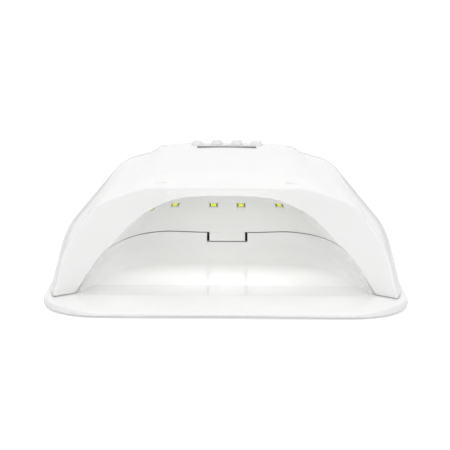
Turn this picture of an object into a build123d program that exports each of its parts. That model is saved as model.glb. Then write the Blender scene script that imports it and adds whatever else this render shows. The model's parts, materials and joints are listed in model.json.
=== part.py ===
from build123d import *
from functools import lru_cache
import math
import os

os.makedirs("parts", exist_ok=True)

# A table lamp that cures nail varnish: a lamp head over an open hand space, on a loose base tray.
# Millimetres. X points right, Y points to the back, Z points up, the table is at zero.

# Outer form of the head: the highest cross section, from its foot up to the middle of the deck
head_base_z = 7.6
crest_y = -14.5
crest_half_width = 114.4
crease_x = 105.3
crease_z = 42.2
shoulder_x = 69.4
shoulder_z = 84.8
deck_foot_x = 51.2
deck_foot_z = 89.7
deck_edge_x = 43.5
deck_edge_z = 94.7
deck_apex_z = 96.2
crease_radius = 36.0
shoulder_radius = 21.5
deck_foot_radius = 6.0
deck_edge_radius = 6.0
crown_radius = 460.0

# Outer form of the head: its front edge, which lies in a plane that leans back
rim_y = -66.3
rim_lean = 0.187
lean_level = 40.0
rim_half_width = 108.1
rim_side_x = 101.8
rim_side_z = 36.7
rim_shoulder_x = 82.8
rim_shoulder_z = 63.9
rim_brow_x = 53.3
rim_brow_z = 74.4
rim_brow_end_x = 38.0
rim_brow_end_z = 74.2
rim_middle_z = 74.1
rim_side_radius = 58.0
rim_shoulder_radius = 27.0
rim_brow_radius = 58.0
front_plan_bulge = 0.9
front_profile_bulge = 0.8

# Outer form of the head: the tail behind the highest cross section
back_y = 99.5
tail_cut = 0.985
tail_plan_power = 2.4
tail_height_power = 2.22

# Walls and gaps
cover_wall = 2.2
cover_edge_wall = 1.1
liner_wall = 2.2
seat_gap = 0.25
body_gap = 0.65
below_base = 3.0
cut_past = 1.0
pocket_gap = 0.1
corner_share = 0.47

# Hand space: an arch whose plan is a rounded D, closed at the back
arch_half_width = 96.0
arch_height = 69.3
arch_side_power = 1.15
arch_top_power = 2.5
arch_lip_step = 1.0
arch_plan_start_y = -50.0
arch_back_y = 67.5
arch_plan_corner_power = 5.0
arch_plan_back_power = 1.6
dome_height_power = 3.5
dome_depth_power = 1.3
arch_top_trim = 0.9

# Mouth: the sloping band between the front edge and the hand space
mouth_y = -56.0
mouth_foot_x = 95.2
mouth_side_x = 81.5
mouth_side_z = 29.0
mouth_shoulder_x = 58.6
mouth_shoulder_z = 52.6
mouth_brow_x = 44.2
mouth_brow_z = 62.4
mouth_brow_end_x = 27.8
mouth_brow_end_z = 67.7
mouth_middle_z = 68.9
mouth_radius = 60.0
mouth_edge_land = 1.1
rim_nose = 2.0
bezel_depth = 14.3
bezel_draft = 2.6
bezel_nose = 3.0
bezel_foot_thickness = 2.0

# Seam between liner and tray, with the liner's tab in the middle of the back
seam_z = 24.0
seam_sag = 1.4
seam_sag_half_width = 42.0
tab_half_width = 12.8
tab_foot_z = 16.6
tab_step = 0.3
tab_root = 1.0
notch_side_gap = 1.8
notch_reach = 60.0
core_height = 20.0

# Base tray
tray_bottom_z = 0.8
tray_flange_z = 7.2
tray_margin = 1.2
tray_front_y = -99.5
tray_corner_radius = 38.0
tray_bottom_round = 2.2
tray_bottom_tuck = 3.2
tray_top_round = 2.8
tray_wall = 2.2
floor_z = 5.0
floor_back_y = 43.0
floor_side_fillet = 8.0
ramp_start_y = -27.0
ramp_run = 18.0
lip_fall_start_y = -58.0
lip_nose_z = 3.0
front_arch_z = 2.4
front_arch_half_width = 78.0
front_arch_depth = 8.0
ridge_side_x = 96.5
ridge_back_wall = 3.0
ridge_front_y = -51.2

# Feet and magnets
foot_radius = 5.0
foot_height = 1.6
foot_places = [(-92.0, -76.0), (92.0, -76.0), (-82.0, 50.0), (82.0, 50.0)]
magnet_radius = 4.0
magnet_height = 3.0
magnet_places = [(-101.0, 8.0), (101.0, 8.0), (-62.0, 79.0), (62.0, 79.0)]
magnet_proud = 0.2
boss_wall = 1.5

# Bottom frame and its screws
frame_thickness = 2.2
frame_boss_height = 1.6
frame_side_gap = 0.5
frame_screw_places = [
    (-105.0, -34.0), (105.0, -34.0), (-90.5, 46.0), (90.5, 46.0), (-30.0, 85.5), (30.0, 85.5),
]
screw_shank_radius = 1.45
screw_head_radius = 2.7
screw_head_height = 1.5
screw_length = 10.0
screw_clearance = 0.1
screw_tip_room = 0.5
slot_width = 0.6
post_radius = 3.4

# Window and buttons in the deck
window_width = 38.2
window_front_y = -19.6
window_depth = 10.2
window_gap = 0.2
window_proud = 0.6
window_ledge = 1.4
window_ledge_thickness = 0.8
button_names = ["10s", "30s", "60s", "99s"]
button_y = -0.5
button_pitch = 13.1
button_radius = 3.9
button_top_radius = 3.0
button_proud = 2.6
button_gap = 0.2
button_flange_radius = 5.0
button_flange_thickness = 1.0
button_stem_radius = 1.9
button_travel = 0.5
button_collar = 0.5
button_round = 0.6
hole_reach = 10.0

# Control board under the deck
board_drop = 9.9
board_thickness = 1.6
board_half_width = 34.0
board_front_y = -25.0
board_back_y = 14.0
board_post_x = 30.5
board_post_inset = 4.0
board_screw_length = 7.0
switch_side = 6.0
switch_height = 3.5
plunger_radius = 1.75
plunger_proud = 0.9
plunger_root = 1.1
plunger_gap = 0.1
display_width = 34.0
display_depth = 8.6
chip_width = 10.0
chip_height = 1.6
chip_place = (-14.0, -10.0)
coil_radius = 4.5
coil_height = 5.0
coil_place = (14.0, -12.0)
plug_width = 6.0
plug_depth = 5.0
plug_height = 4.6
outer_plug_factor = 2.2

# LED boards: each sits on a pad of the liner, where a ray from the hand's middle meets the arch
ray_start_z = 15.0
low_ring = [(8.8, 23.3), (31.7, 21.9), (49.2, 22.1), (72.0, 22.8), (97.0, 23.5)]
high_ring = [(24.0, 55.0), (72.0, 55.0), (120.0, 55.0)]
led_board_width = 12.0
led_board_height = 10.0
led_board_thickness = 1.6
pad_lift = 2.8
pad_margin = 0.6
pad_root = 2.0
led_width = 5.0
led_height = 3.6
led_thickness = 2.0
led_gap = 0.4
led_bevel = 1.7
led_bevel_depth = 1.6
led_bevel_top = 0.6
peg_radius = 0.9
peg_x = 4.6
peg_y = 3.4
peg_gap = 0.1
peg_proud = 0.6
peg_root = 0.5

# Hand sensor in the roof, near the mouth
sensor_elevation = 58.0
sensor_board_width = 18.0
sensor_eye_radius = 1.5
sensor_eye_pitch = 9.0
sensor_eye_length = 3.6
sensor_eye_gap = 0.2

# Power inlet in the flat part of the back
inlet_z = 16.5
inlet_hole_radius = 4.1
inlet_barrel_radius = 3.9
inlet_bore_radius = 3.1
inlet_bore_depth = 10.8
inlet_pin_radius = 1.05
inlet_pin_recess = 1.5
inlet_body_width = 9.2
inlet_body_depth = 12.0
inlet_board_half_width = 13.0
inlet_board_depth = 20.5
capacitor_radius = 3.1
capacitor_height = 8.0
small_screw_radius = 1.0
small_head_radius = 2.0
small_head_height = 1.3
small_thread_gap = 0.05
small_tip_room = 0.3
small_slot_width = 0.5
inlet_screw_inset = (3.0, 14.0)
inlet_plug_inset = 3.5
capacitor_inset = (0.5, 0.6)
capacitor_round = 0.6
terminal_width = 1.6
terminal_thickness = 0.6
terminal_height = 4.5
terminal_x = 2.2

# Wiring
wire_radius = 0.8
wire_pitch = 2.4
wire_plug_x = 9.0
inlet_wire_height = 4.6
wire_rise_z = 44.0
wire_knee = (63.0, 64.0)
wire_crown = (44.0, 77.0)
wire_straight_y = 29.0
bend_share = 0.45
cable_radius = 1.1
cable_straight = 12.0
cable_straight_share = 0.3
cable_rise = 3.0
cable_end_straight = 11.0
jumper_radius = 0.6
jumper_lift = 7.0
jumper_solder_step = 3.0
jumper_clearance = 0.5


def lerp(a, b, t):
    """Value between a and b."""
    return a + (b - a) * t


def deck_top():
    """Height of the rounded middle of the deck at the crest."""
    turn = 2 * math.atan2(deck_apex_z - deck_edge_z, deck_edge_x)
    reach = crown_radius * math.tan(turn / 2)
    return deck_apex_z - reach * math.tan(turn / 4)


def crest_corners():
    """Right half of the highest cross section, foot first, with a radius for each inner corner."""
    corners = [
        (crest_half_width, head_base_z),
        (crease_x, crease_z),
        (shoulder_x, shoulder_z),
        (deck_foot_x, deck_foot_z),
        (deck_edge_x, deck_edge_z),
        (0.0, deck_apex_z),
    ]
    radii = [crease_radius, shoulder_radius, deck_foot_radius, deck_edge_radius, crown_radius]
    return corners, radii


def rim_corners():
    """Right half of the front edge, in the same order."""
    corners = [
        (rim_half_width, head_base_z),
        (rim_side_x, rim_side_z),
        (rim_shoulder_x, rim_shoulder_z),
        (rim_brow_x, rim_brow_z),
        (rim_brow_end_x, rim_brow_end_z),
        (0.0, rim_middle_z),
    ]
    radii = [rim_side_radius, rim_shoulder_radius, rim_brow_radius, rim_brow_radius, crown_radius]
    return corners, radii


def mouth_corners():
    """Right half of the inner edge of the mouth, in the same order."""
    corners = [
        (mouth_foot_x, head_base_z),
        (mouth_side_x, mouth_side_z),
        (mouth_shoulder_x, mouth_shoulder_z),
        (mouth_brow_x, mouth_brow_z),
        (mouth_brow_end_x, mouth_brow_end_z),
        (0.0, mouth_middle_z),
    ]
    radii = [mouth_radius, mouth_radius, mouth_radius, mouth_radius, crown_radius]
    return corners, radii


def mirrored(corners, radii):
    """Whole outline from its right half: right foot, over the top, to the left foot."""
    left = [(-x, z) for x, z in reversed(corners[:-1])]
    return corners + left, radii + radii[-2::-1]


def turn_at(before, corner, after):
    """Angle by which an outline turns left at a corner, in radians."""
    first = math.atan2(corner[1] - before[1], corner[0] - before[0])
    second = math.atan2(after[1] - corner[1], after[0] - corner[0])
    return (second - first + math.pi) % (2 * math.pi) - math.pi


def inset_outline(corners, radii, inset):
    """Outline moved inwards by a wall, with its corner radii changed by the same wall."""
    count = len(corners)
    moved = []
    new_radii = []
    for i, (x, z) in enumerate(corners):
        before = corners[max(i - 1, 0)]
        after = corners[min(i + 1, count - 1)]
        if i == 0:
            heading, half_turn = math.atan2(after[1] - z, after[0] - x), 0.0
        elif i == count - 1:
            heading, half_turn = math.atan2(z - before[1], x - before[0]), 0.0
        else:
            half_turn = turn_at(before, (x, z), after) / 2
            heading = math.atan2(z - before[1], x - before[0]) + half_turn
            sign = 1.0 if half_turn > 0 else -1.0
            new_radii.append(max(radii[i - 1] - sign * inset, 1.0))
        reach = inset / math.cos(half_turn)
        moved.append((x - math.sin(heading) * reach, z + math.cos(heading) * reach))
    return moved, new_radii


def lengthened(corners, depth):
    """Outline with both feet carried on below the base, along their own sides."""
    longer = list(corners)
    for end, near in ((0, 1), (-1, -2)):
        x, z = corners[end]
        slope = (x - corners[near][0]) / (z - corners[near][1])
        longer[end] = (x + slope * (head_base_z - depth - z), head_base_z - depth)
    return longer


def rounded_wire(points, radii):
    """Closed wire through points, with an arc at each inner corner and a straight closing line."""
    edges = []
    start = Vector(*points[0])
    for i in range(1, len(points) - 1):
        before, corner, after = Vector(*points[i - 1]), Vector(*points[i]), Vector(*points[i + 1])
        back = (before - corner).normalized()
        ahead = (after - corner).normalized()
        half = math.acos(max(-1.0, min(1.0, back.dot(ahead)))) / 2
        room = corner_share * min((before - corner).length, (after - corner).length)
        reach = min(radii[i - 1] / math.tan(half), room)
        radius = reach * math.tan(half)
        first = corner + back * reach
        last = corner + ahead * reach
        centre = corner + (back + ahead).normalized() * (radius / math.sin(half))
        middle = centre + (corner - centre).normalized() * radius
        edges.append(Edge.make_line(start, first))
        edges.append(Edge.make_three_point_arc(first, middle, last))
        start = last
    edges.append(Edge.make_line(start, Vector(*points[-1])))
    edges.append(Edge.make_line(Vector(*points[-1]), Vector(*points[0])))
    return Wire(edges)


def leaning_plane(y, lean):
    """Plane across the head at y, which leans back by lean per millimetre above its level."""
    return Plane(origin=(0, y, lean_level), x_dir=(1, 0, 0), z_dir=(0, -1, lean))


def section_wire(corners, radii, y, lean):
    """Cross section of the head in a leaning plane, carried on below the base."""
    stretch = math.hypot(1.0, lean)
    longer = lengthened(corners, below_base)
    flat = [(x, (z - lean_level) * stretch) for x, z in longer]
    return leaning_plane(y, lean).location * rounded_wire(flat, radii)


def front_section(u, inset):
    """Section between the crest, where u is 0, and the front edge, where u is 1."""
    def blend(bulge):
        return (1 - math.sqrt(1 - (u * bulge) ** 2)) / (1 - math.sqrt(1 - bulge ** 2))
    crest, crest_radii = crest_corners()
    rim, rim_radii = rim_corners()
    across = blend(front_plan_bulge)
    upward = blend(front_profile_bulge)
    corners = [(lerp(c[0], r[0], across), lerp(c[1], r[1], upward)) for c, r in zip(crest, rim)]
    radii = [lerp(c, r, u) for c, r in zip(crest_radii, rim_radii)]
    outline = inset_outline(*mirrored(corners, radii), inset)
    return section_wire(*outline, lerp(crest_y, rim_y, u), rim_lean * u)


def tail_scale(y, inset, power):
    """Share of the crest's size that the tail keeps at y."""
    length = (back_y - crest_y) / tail_cut - inset
    return (1 - ((y - crest_y) / length) ** power) ** (1 / power)


def tail_section(y, inset):
    """Section of the tail at y, the crest's outline drawn in by the tail's two curves."""
    corners, radii = inset_outline(*mirrored(*crest_corners()), inset)
    across = tail_scale(y, inset, tail_plan_power)
    upward = tail_scale(y, inset, tail_height_power)
    scaled = [(x * across, head_base_z + (z - head_base_z) * upward) for x, z in corners]
    shrink = min(across, upward)
    return section_wire(scaled, [r * shrink for r in radii], y, 0.0)


def wall_at(u):
    """Wall of the cover, which thins towards its front edge."""
    return lerp(cover_wall, cover_edge_wall, u * u)


def base_cutter():
    """Everything below the underside of the head."""
    depth = 4 * below_base
    return Pos(0, 0, head_base_z - depth / 2) * Box(4 * crest_half_width, 4 * back_y, depth)


@lru_cache(maxsize=None)
def head_form(walls, extra):
    """Closed solid of the head's outer form, moved inwards by walls times the cover's wall and extra."""
    front = [front_section(u, walls * wall_at(u) + extra) for u in (1.0, 0.8, 0.6, 0.4, 0.2)]
    inset = walls * cover_wall + extra
    end_y = back_y - inset
    steps = [math.sin(math.radians(angle)) for angle in (0, 12, 24, 36, 48, 58, 67, 75, 82, 90)]
    tail = [tail_section(lerp(crest_y, end_y, step), inset) for step in steps]
    return Solid.make_loft(front + tail)


def front_of(y):
    """Everything in front of the leaning plane at y."""
    reach = 4 * crest_half_width
    block = Box(reach, reach, reach, align=(Align.CENTER, Align.CENTER, Align.MIN))
    return leaning_plane(y, rim_lean).location * block


def arch_half_width_at(z, offset=0.0):
    """Half width of the hand space at a height."""
    share = max(0.0, z / (arch_height + offset)) ** arch_side_power
    return (arch_half_width + offset) * (1 - share) ** (1 / arch_top_power) + arch_lip_step


def dome_depth_at(z, offset=0.0):
    """Depth of the hand space behind the start of its curved plan, above the seam."""
    share = (z - seam_z) / (arch_height + offset - seam_z)
    depth = arch_back_y - arch_plan_start_y + offset
    return depth * (1 - max(0.0, share) ** dome_height_power) ** (1 / dome_depth_power)


def plan_y(x_share, depth):
    """Y of the D-shaped plan where x is a share of the half width."""
    corner = (1 - x_share ** arch_plan_corner_power) ** (1 / arch_plan_back_power)
    return arch_plan_start_y + depth * corner


def plan_wire(half_width, depth, z, front_y):
    """Closed D-shaped wire at height z: a curved back, straight sides and a straight front."""
    points = []
    for angle in range(-90, 91, 10):
        share = math.sin(math.radians(angle))
        points.append((half_width * share, plan_y(abs(share), depth), z))
    left_start, right_start = points[0], points[-1]
    curve = Edge.make_spline([Vector(*p) for p in points], tangents=[Vector(0, 1, 0), Vector(0, -1, 0)])
    right_front = (half_width, front_y, z)
    left_front = (-half_width, front_y, z)
    return Wire([
        curve,
        Edge.make_line(right_start, right_front),
        Edge.make_line(right_front, left_front),
        Edge.make_line(left_front, left_start),
    ])


def plan_prism(half_width, back, z_from, z_to):
    """Upright prism over the D-shaped plan whose back reaches the given y."""
    wire = plan_wire(half_width, back - arch_plan_start_y, z_from, 2 * tray_front_y)
    return extrude(Face(wire), z_to - z_from, dir=(0, 0, 1))


@lru_cache(maxsize=None)
def arch_solid(offset):
    """Space of the arch above the seam, enlarged by offset."""
    low = seam_z - 4 * seam_sag
    top = arch_height + offset - arch_top_trim
    wires = [plan_wire(arch_half_width_at(low, offset), dome_depth_at(low, offset), low, 2 * tray_front_y)]
    for angle in (0, 9, 18, 27, 36, 45, 54, 63, 72, 81, 90):
        z = lerp(seam_z, top, math.sin(math.radians(angle)))
        half_width = arch_half_width_at(z, offset)
        wires.append(plan_wire(half_width, dome_depth_at(z, offset), z, 2 * tray_front_y))
    return Solid.make_loft(wires)


@lru_cache(maxsize=None)
def dish_solid(offset, drop):
    """Space of the hand rest below the seam, enlarged by offset and lowered by drop.

    Its back wall curves forward into the floor, and its sides meet the floor in a fillet.
    """
    wires = []
    for angle in (0, 15, 30, 45, 60, 75, 90):
        z = lerp(floor_z, seam_z, 1 - math.cos(math.radians(angle)))
        back = dish_back_at(z)
        rise = min(1.0, (z - floor_z) / floor_side_fillet)
        tuck = floor_side_fillet * (1 - math.sqrt(max(0.0, 1 - (1 - rise) ** 2)))
        half_width = arch_half_width_at(z) - tuck + offset
        wires.append(plan_wire(half_width, back - arch_plan_start_y + offset, z - drop, 2 * tray_front_y))
    return Solid.make_loft(wires)


def ramp_wedge():
    """Gentle ramp from the floor up to the front lip, which the dish leaves standing."""
    reach = 2 * crest_half_width
    far_y = 3 * tray_front_y
    rise = (ramp_start_y - far_y) / ramp_run
    low = floor_z - cut_past
    profile = [(ramp_start_y, low), (ramp_start_y, floor_z), (far_y, floor_z + rise), (far_y, low)]
    face = Face(Wire.make_polygon([Vector(-reach, y, z) for y, z in profile], close=True))
    return extrude(face, 2 * reach, dir=(1, 0, 0))


def lens_prism(half_width, level, depth, y_from, y_to):
    """Shallow lens along Y: flat at level, curved by depth at the middle."""
    left = Vector(-half_width, y_from, level)
    right = Vector(half_width, y_from, level)
    bottom = Vector(0, y_from, level + depth)
    wire = Wire([Edge.make_three_point_arc(left, bottom, right), Edge.make_line(right, left)])
    return extrude(Face(wire), y_to - y_from, dir=(0, 1, 0))


def below_seam(gap):
    """Everything below the seam line, with a gap under it."""
    level = seam_z - gap
    depth = 3 * seam_z
    box = Pos(0, 0, level - depth / 2) * Box(4 * crest_half_width, 4 * back_y, depth)
    return box - lens_prism(seam_sag_half_width, level, -seam_sag, 0, back_y)


def tray_wire(z, inset):
    """Plan of the tray at height z: straight front, round corners, and sides that follow the head."""
    half_width = crest_half_width + tray_margin - inset
    front = tray_front_y + inset
    end_y = back_y - inset
    radius = tray_corner_radius - inset
    corner_y = front + radius
    corner_x = half_width - radius
    diagonal = radius * math.sqrt(0.5)
    right = []
    for angle in (0, 12, 24, 36, 48, 58, 67, 75, 82, 90):
        y = lerp(crest_y, end_y, math.sin(math.radians(angle)))
        right.append(Vector(half_width * tail_scale(y, inset - tray_margin / 2, tail_plan_power), y, z))
    left = [Vector(-p.X, p.Y, z) for p in reversed(right)]
    corner_centre = Vector(corner_x, corner_y, z)
    right_front = Vector(corner_x, front, z)
    left_front = Vector(-corner_x, front, z)
    return Wire([
        Edge.make_line(left_front, right_front),
        Edge.make_three_point_arc(right_front, corner_centre + Vector(diagonal, -diagonal, 0),
                                  Vector(half_width, corner_y, z)),
        Edge.make_line(Vector(half_width, corner_y, z), right[0]),
        Edge.make_spline(right),
        Edge.make_line(right[-1], left[0]),
        Edge.make_spline(left),
        Edge.make_line(left[-1], Vector(-half_width, corner_y, z)),
        Edge.make_three_point_arc(Vector(-half_width, corner_y, z),
                                  Vector(-corner_x - diagonal, corner_y - diagonal, z), left_front),
    ])


def tray_slab():
    """Outer form of the tray without its ridge, with a round edge all the way along."""
    wires = []
    for angle in (0, 30, 60, 90):
        turn = math.radians(angle)
        z = tray_bottom_z + tray_bottom_round * (1 - math.cos(turn))
        wires.append(tray_wire(z, tray_bottom_tuck * (1 - math.sin(turn))))
    for angle in (90, 60, 30, 0):
        turn = math.radians(angle)
        z = tray_flange_z - tray_top_round * (1 - math.cos(turn))
        wires.append(tray_wire(z, tray_top_round * (1 - math.sin(turn))))
    return Solid.make_loft(wires)


def lip_cutter():
    """Everything above the falling curve of the front lip."""
    run = lip_fall_start_y - tray_front_y
    fall = tray_flange_z - lip_nose_z
    reach = 2 * crest_half_width
    start = Vector(-reach, lip_fall_start_y, tray_flange_z)
    nose = Vector(-reach, tray_front_y, lip_nose_z)
    centre = Plane(origin=(-reach, lip_fall_start_y, lip_nose_z), x_dir=(0, -1, 0), z_dir=(-1, 0, 0))
    curve = centre.location * Edge.make_ellipse(run, fall, start_angle=0, end_angle=90)
    ends = sorted((curve @ 0, curve @ 1), key=lambda p: p.Y)
    outer_low = Vector(-reach, tray_front_y - run, lip_nose_z)
    outer_high = Vector(-reach, tray_front_y - run, tray_flange_z + fall)
    inner_high = Vector(-reach, lip_fall_start_y, tray_flange_z + fall)
    wire = Wire([
        curve,
        Edge.make_line(ends[0], outer_low),
        Edge.make_line(outer_low, outer_high),
        Edge.make_line(outer_high, inner_high),
        Edge.make_line(inner_high, ends[1]),
    ])
    return extrude(Face(wire), 2 * reach, dir=(1, 0, 0))


def upright(places, radius, z_from, z_to):
    """One upright cylinder at each place."""
    height = z_to - z_from
    return [Pos(x, y, z_from + height / 2) * Cylinder(radius, height) for x, y in places]


def base_tray():
    """Loose tray: floor, ridge along the seam, front lip, and pockets for feet and magnets."""
    ridge_top = seam_z - body_gap
    ridge_back = arch_back_y + ridge_back_wall
    tray = tray_slab() - lip_cutter()
    front_arch = lens_prism(front_arch_half_width, tray_bottom_z - pocket_gap, front_arch_z - tray_bottom_z,
                            2 * tray_front_y, tray_front_y + front_arch_depth)
    pocket_roof = floor_z - tray_wall
    pocket = extrude(Face(tray_wire(0, 2 * tray_wall)), pocket_roof, dir=(0, 0, 1))
    ridge = plan_prism(ridge_side_x, ridge_back, pocket_roof, seam_z + cut_past)
    ridge -= front_of(ridge_front_y)
    ridge &= below_seam(body_gap)
    core_depth = 4 * tray_wall + floor_back_y
    solid_core = Pos(0, ridge_back, seam_z) * Box(4 * tab_half_width, core_depth, core_height)
    hollow_top = ridge_top - tray_wall - seam_sag
    hollow = plan_prism(ridge_side_x - tray_wall, ridge_back - tray_wall,
                        pocket_roof - pocket_gap, hollow_top)
    hollow -= front_of(ridge_front_y + tray_wall)
    hollow -= dish_solid(tray_wall, tray_wall)
    hollow -= solid_core
    notch_half = tab_half_width + notch_side_gap
    notch_depth = seam_z - tab_foot_z + body_gap
    notch_middle_z = tab_foot_z - body_gap + notch_depth
    notch = Pos(0, ridge_back, notch_middle_z) * Box(2 * notch_half, notch_reach, 2 * notch_depth)
    tray = tray - pocket + ridge - (dish_solid(0, 0) - ramp_wedge()) - hollow - notch - front_arch
    foot_boss = upright(foot_places, foot_radius + boss_wall, tray_bottom_z, pocket_roof + pocket_gap)
    magnet_boss = upright(magnet_places, magnet_radius + boss_wall, tray_bottom_z, pocket_roof + pocket_gap)
    tray += foot_boss + magnet_boss
    magnet_foot = head_base_z - magnet_proud - magnet_height
    tray -= upright(foot_places, foot_radius + pocket_gap, 0, foot_height)
    tray -= upright(magnet_places, magnet_radius + pocket_gap, magnet_foot, head_base_z)
    return tray


def disc_group(places, radius, z_from, z_to):
    """Group of equal upright discs."""
    return Compound(children=upright(places, radius, z_from, z_to))


def outer_cover():
    """White outer shell with its deck openings, screw posts and inlet hole."""
    posts = upright(frame_screw_places, post_radius, frame_post_z(), deck_top())
    board_posts = upright(board_post_places(), post_radius, board_top(), deck_top())
    space = head_form(1, 0) - (posts + board_posts)
    shell = head_form(0, 0) - space - base_cutter() - front_of(rim_y + rim_nose + seat_gap)
    shell -= upright(frame_screw_places, screw_shank_radius + screw_clearance,
                     head_base_z, frame_screw_top() + screw_tip_room)
    shell -= upright(board_post_places(), screw_shank_radius + screw_clearance,
                     board_top() - cut_past, board_top() + board_screw_length)
    shell -= window_block(window_gap, 0)
    shell -= upright(button_places(), button_radius + button_gap,
                     deck_top() - hole_reach, deck_top() + hole_reach)
    shell -= along_y(0, inlet_z, inlet_hole_radius, back_y - hole_reach, back_y + hole_reach)
    return shell


def frame_post_z():
    """Height at which the cover's posts meet the bottom frame."""
    return head_base_z + frame_thickness + frame_boss_height


def frame_screw_top():
    """Upper end of the frame screws."""
    return head_base_z + seat_gap + screw_head_height + screw_length


def deck_height_at(x, y):
    """Height of the rounded deck, at or behind the crest."""
    fall = crown_radius - math.sqrt(crown_radius ** 2 - x ** 2)
    rise = deck_top() - fall - head_base_z
    return head_base_z + rise * tail_scale(y, 0, tail_height_power)


def board_top():
    """Upper face of the control board."""
    return deck_top() - board_drop


def board_post_places():
    """Four posts that hold the control board."""
    rows = (board_front_y + board_post_inset, board_back_y - board_post_inset)
    return [(side * board_post_x, y) for side in (-1, 1) for y in rows]


def button_places():
    """Middles of the four buttons, left to right."""
    return [((i - 1.5) * button_pitch, button_y) for i in range(len(button_names))]


def along_y(x, z, radius, y_from, y_to):
    """Cylinder along Y."""
    length = y_to - y_from
    return Pos(x, y_from + length / 2, z) * Rot(90, 0, 0) * Cylinder(radius, length)


def window_floor():
    """Lower face of the display window."""
    return deck_top() - cover_wall - 2 * window_ledge_thickness - window_gap


def window_block(grow, lower):
    """Block of the window's opening, grown by a gap and carried up past the deck."""
    bottom = window_floor() - lower
    height = deck_top() + hole_reach - bottom
    middle_y = window_front_y + window_depth / 2
    return Pos(0, middle_y, bottom + height / 2) * Box(
        window_width + 2 * grow, window_depth + 2 * grow, height)


def display_window():
    """Tinted window: its top follows the deck a little above it, and a ledge under the deck holds it."""
    window = window_block(0, 0) & (Pos(0, 0, window_proud) * head_form(0, 0))
    middle_y = window_front_y + window_depth / 2
    ledge = Pos(0, middle_y, window_floor() + window_ledge_thickness / 2) * Box(
        window_width + 2 * window_ledge, window_depth + 2 * window_ledge, window_ledge_thickness)
    return window + ledge


def mouth_section(inset, y):
    """Inner edge of the mouth, in the leaning plane at y."""
    outline = inset_outline(*mirrored(*mouth_corners()), inset)
    return section_wire(*outline, y, rim_lean)


def bezel_back_y():
    """Back of the bezel, in the leaning plane."""
    return rim_y + bezel_depth


def funnel(back, skin):
    """Tapering space of the mouth, moved back and widened by a skin, with the throat behind it."""
    start = Pos(0, back, 0) * front_section(1.0, mouth_edge_land)
    edge = mouth_section(-skin, mouth_y + back)
    taper = Solid.make_loft([start, edge], ruled=True)
    throat = Solid.make_loft([edge, mouth_section(-skin, bezel_back_y() + 2 * cut_past)], ruled=True)
    return taper, throat


def bezel_form(extra):
    """Space inside the front of the cover, whose gap to the cover widens towards the back."""
    sections = []
    for u in (1.0, 0.8, 0.6, 0.4):
        gap = seat_gap + bezel_draft * (1 - u)
        sections.append(front_section(u, wall_at(u) + gap + extra))
    return Solid.make_loft(sections)


def mouth_bezel():
    """Front edge of the head, sloping band behind it, flange inside the cover, and a closed foot."""
    taper, throat = funnel(0, 0)
    inner_taper, inner_throat = funnel(liner_wall, liner_wall)
    reach = front_of(bezel_back_y())
    hollow = bezel_form(liner_wall) - front_of(rim_y + bezel_nose) - inner_taper - inner_throat
    foot_top = head_base_z + bezel_foot_thickness
    hollow -= Pos(0, 0, foot_top - 2 * below_base) * Box(4 * crest_half_width, 4 * back_y, 4 * below_base)
    flange = (bezel_form(0) & reach) - front_of(rim_y + rim_nose / 2)
    nose = head_form(0, 0) & front_of(rim_y + rim_nose)
    return nose + flange - hollow - taper - throat - base_cutter()


def station(azimuth, elevation):
    """Plane on the arch where a ray from the hand's middle meets it, with its normal to the outside."""
    turn, rise = math.radians(azimuth), math.radians(elevation)
    ray = Vector(math.sin(turn) * math.cos(rise), math.cos(turn) * math.cos(rise), math.sin(rise))
    start = Vector(0, 0, ray_start_z)

    def excess(point):
        if point.Z >= arch_height - 0.5:
            return 1.0
        depth = max(point.Y - arch_plan_start_y, 0.0) / dome_depth_at(point.Z)
        width = abs(point.X) / arch_half_width_at(point.Z)
        return width ** arch_plan_corner_power + depth ** arch_plan_back_power - 1

    near, far = 0.0, 2 * arch_half_width
    for _ in range(40):
        middle = (near + far) / 2
        if excess(start + ray * middle) > 0:
            far = middle
        else:
            near = middle
    point = start + ray * near
    step = 0.05
    slope = [excess(point + Vector(*d) * step) - excess(point - Vector(*d) * step)
             for d in ((1, 0, 0), (0, 1, 0), (0, 0, 1))]
    normal = Vector(*slope).normalized()
    across = Vector(0, 0, 1).cross(normal)
    if across.length < 0.2:
        across = Vector(-1, 0, 0)
    return Plane(origin=point, x_dir=across, z_dir=normal)


def mirrored_ring(ring):
    """Stations of a ring on both sides, left ones first."""
    left = [station(-azimuth, elevation) for azimuth, elevation in reversed(ring)]
    return left + [station(azimuth, elevation) for azimuth, elevation in ring]


def on(plane, height, shape):
    """Shape set on a station, at a height above the arch."""
    return plane.location * Pos(0, 0, height) * shape


def slab(width, depth, thickness):
    """Flat block that rises from its own base."""
    return Box(width, depth, thickness, align=(Align.CENTER, Align.CENTER, Align.MIN))


def rod(radius, height):
    """Rod that rises from its own base."""
    return Cylinder(radius, height, align=(Align.CENTER, Align.CENTER, Align.MIN))


def peg_spots(width):
    """Places of the two pegs of a board, at opposite corners."""
    x = width / 2 - (led_board_width / 2 - peg_x)
    return [(-x, peg_y), (x, -peg_y)]


def board_pad(plane, width):
    """Raised pad of the liner under a board."""
    depth = pad_lift + liner_wall + pad_root
    pad = slab(width + 2 * pad_margin, led_board_height + 2 * pad_margin, depth)
    return on(plane, pad_lift - depth, pad)


def board_pegs(plane, width):
    """Pegs of the liner that pass through a board."""
    root = pad_lift - peg_root
    length = peg_root + led_board_thickness + peg_proud
    return [on(plane, root, Pos(x, y, 0) * rod(peg_radius, length)) for x, y in peg_spots(width)]


def board_on_pad(plane, width):
    """Small board on its pad, with a hole for each peg."""
    board = on(plane, pad_lift, slab(width, led_board_height, led_board_thickness))
    reach = led_board_thickness + 2 * cut_past
    holes = [on(plane, pad_lift - cut_past, Pos(x, y, 0) * rod(peg_radius + peg_gap, reach))
             for x, y in peg_spots(width)]
    return board - holes


def led_package(plane):
    """LED on the inner face of its board."""
    return on(plane, pad_lift - led_thickness, slab(led_width, led_height, led_thickness))


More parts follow.
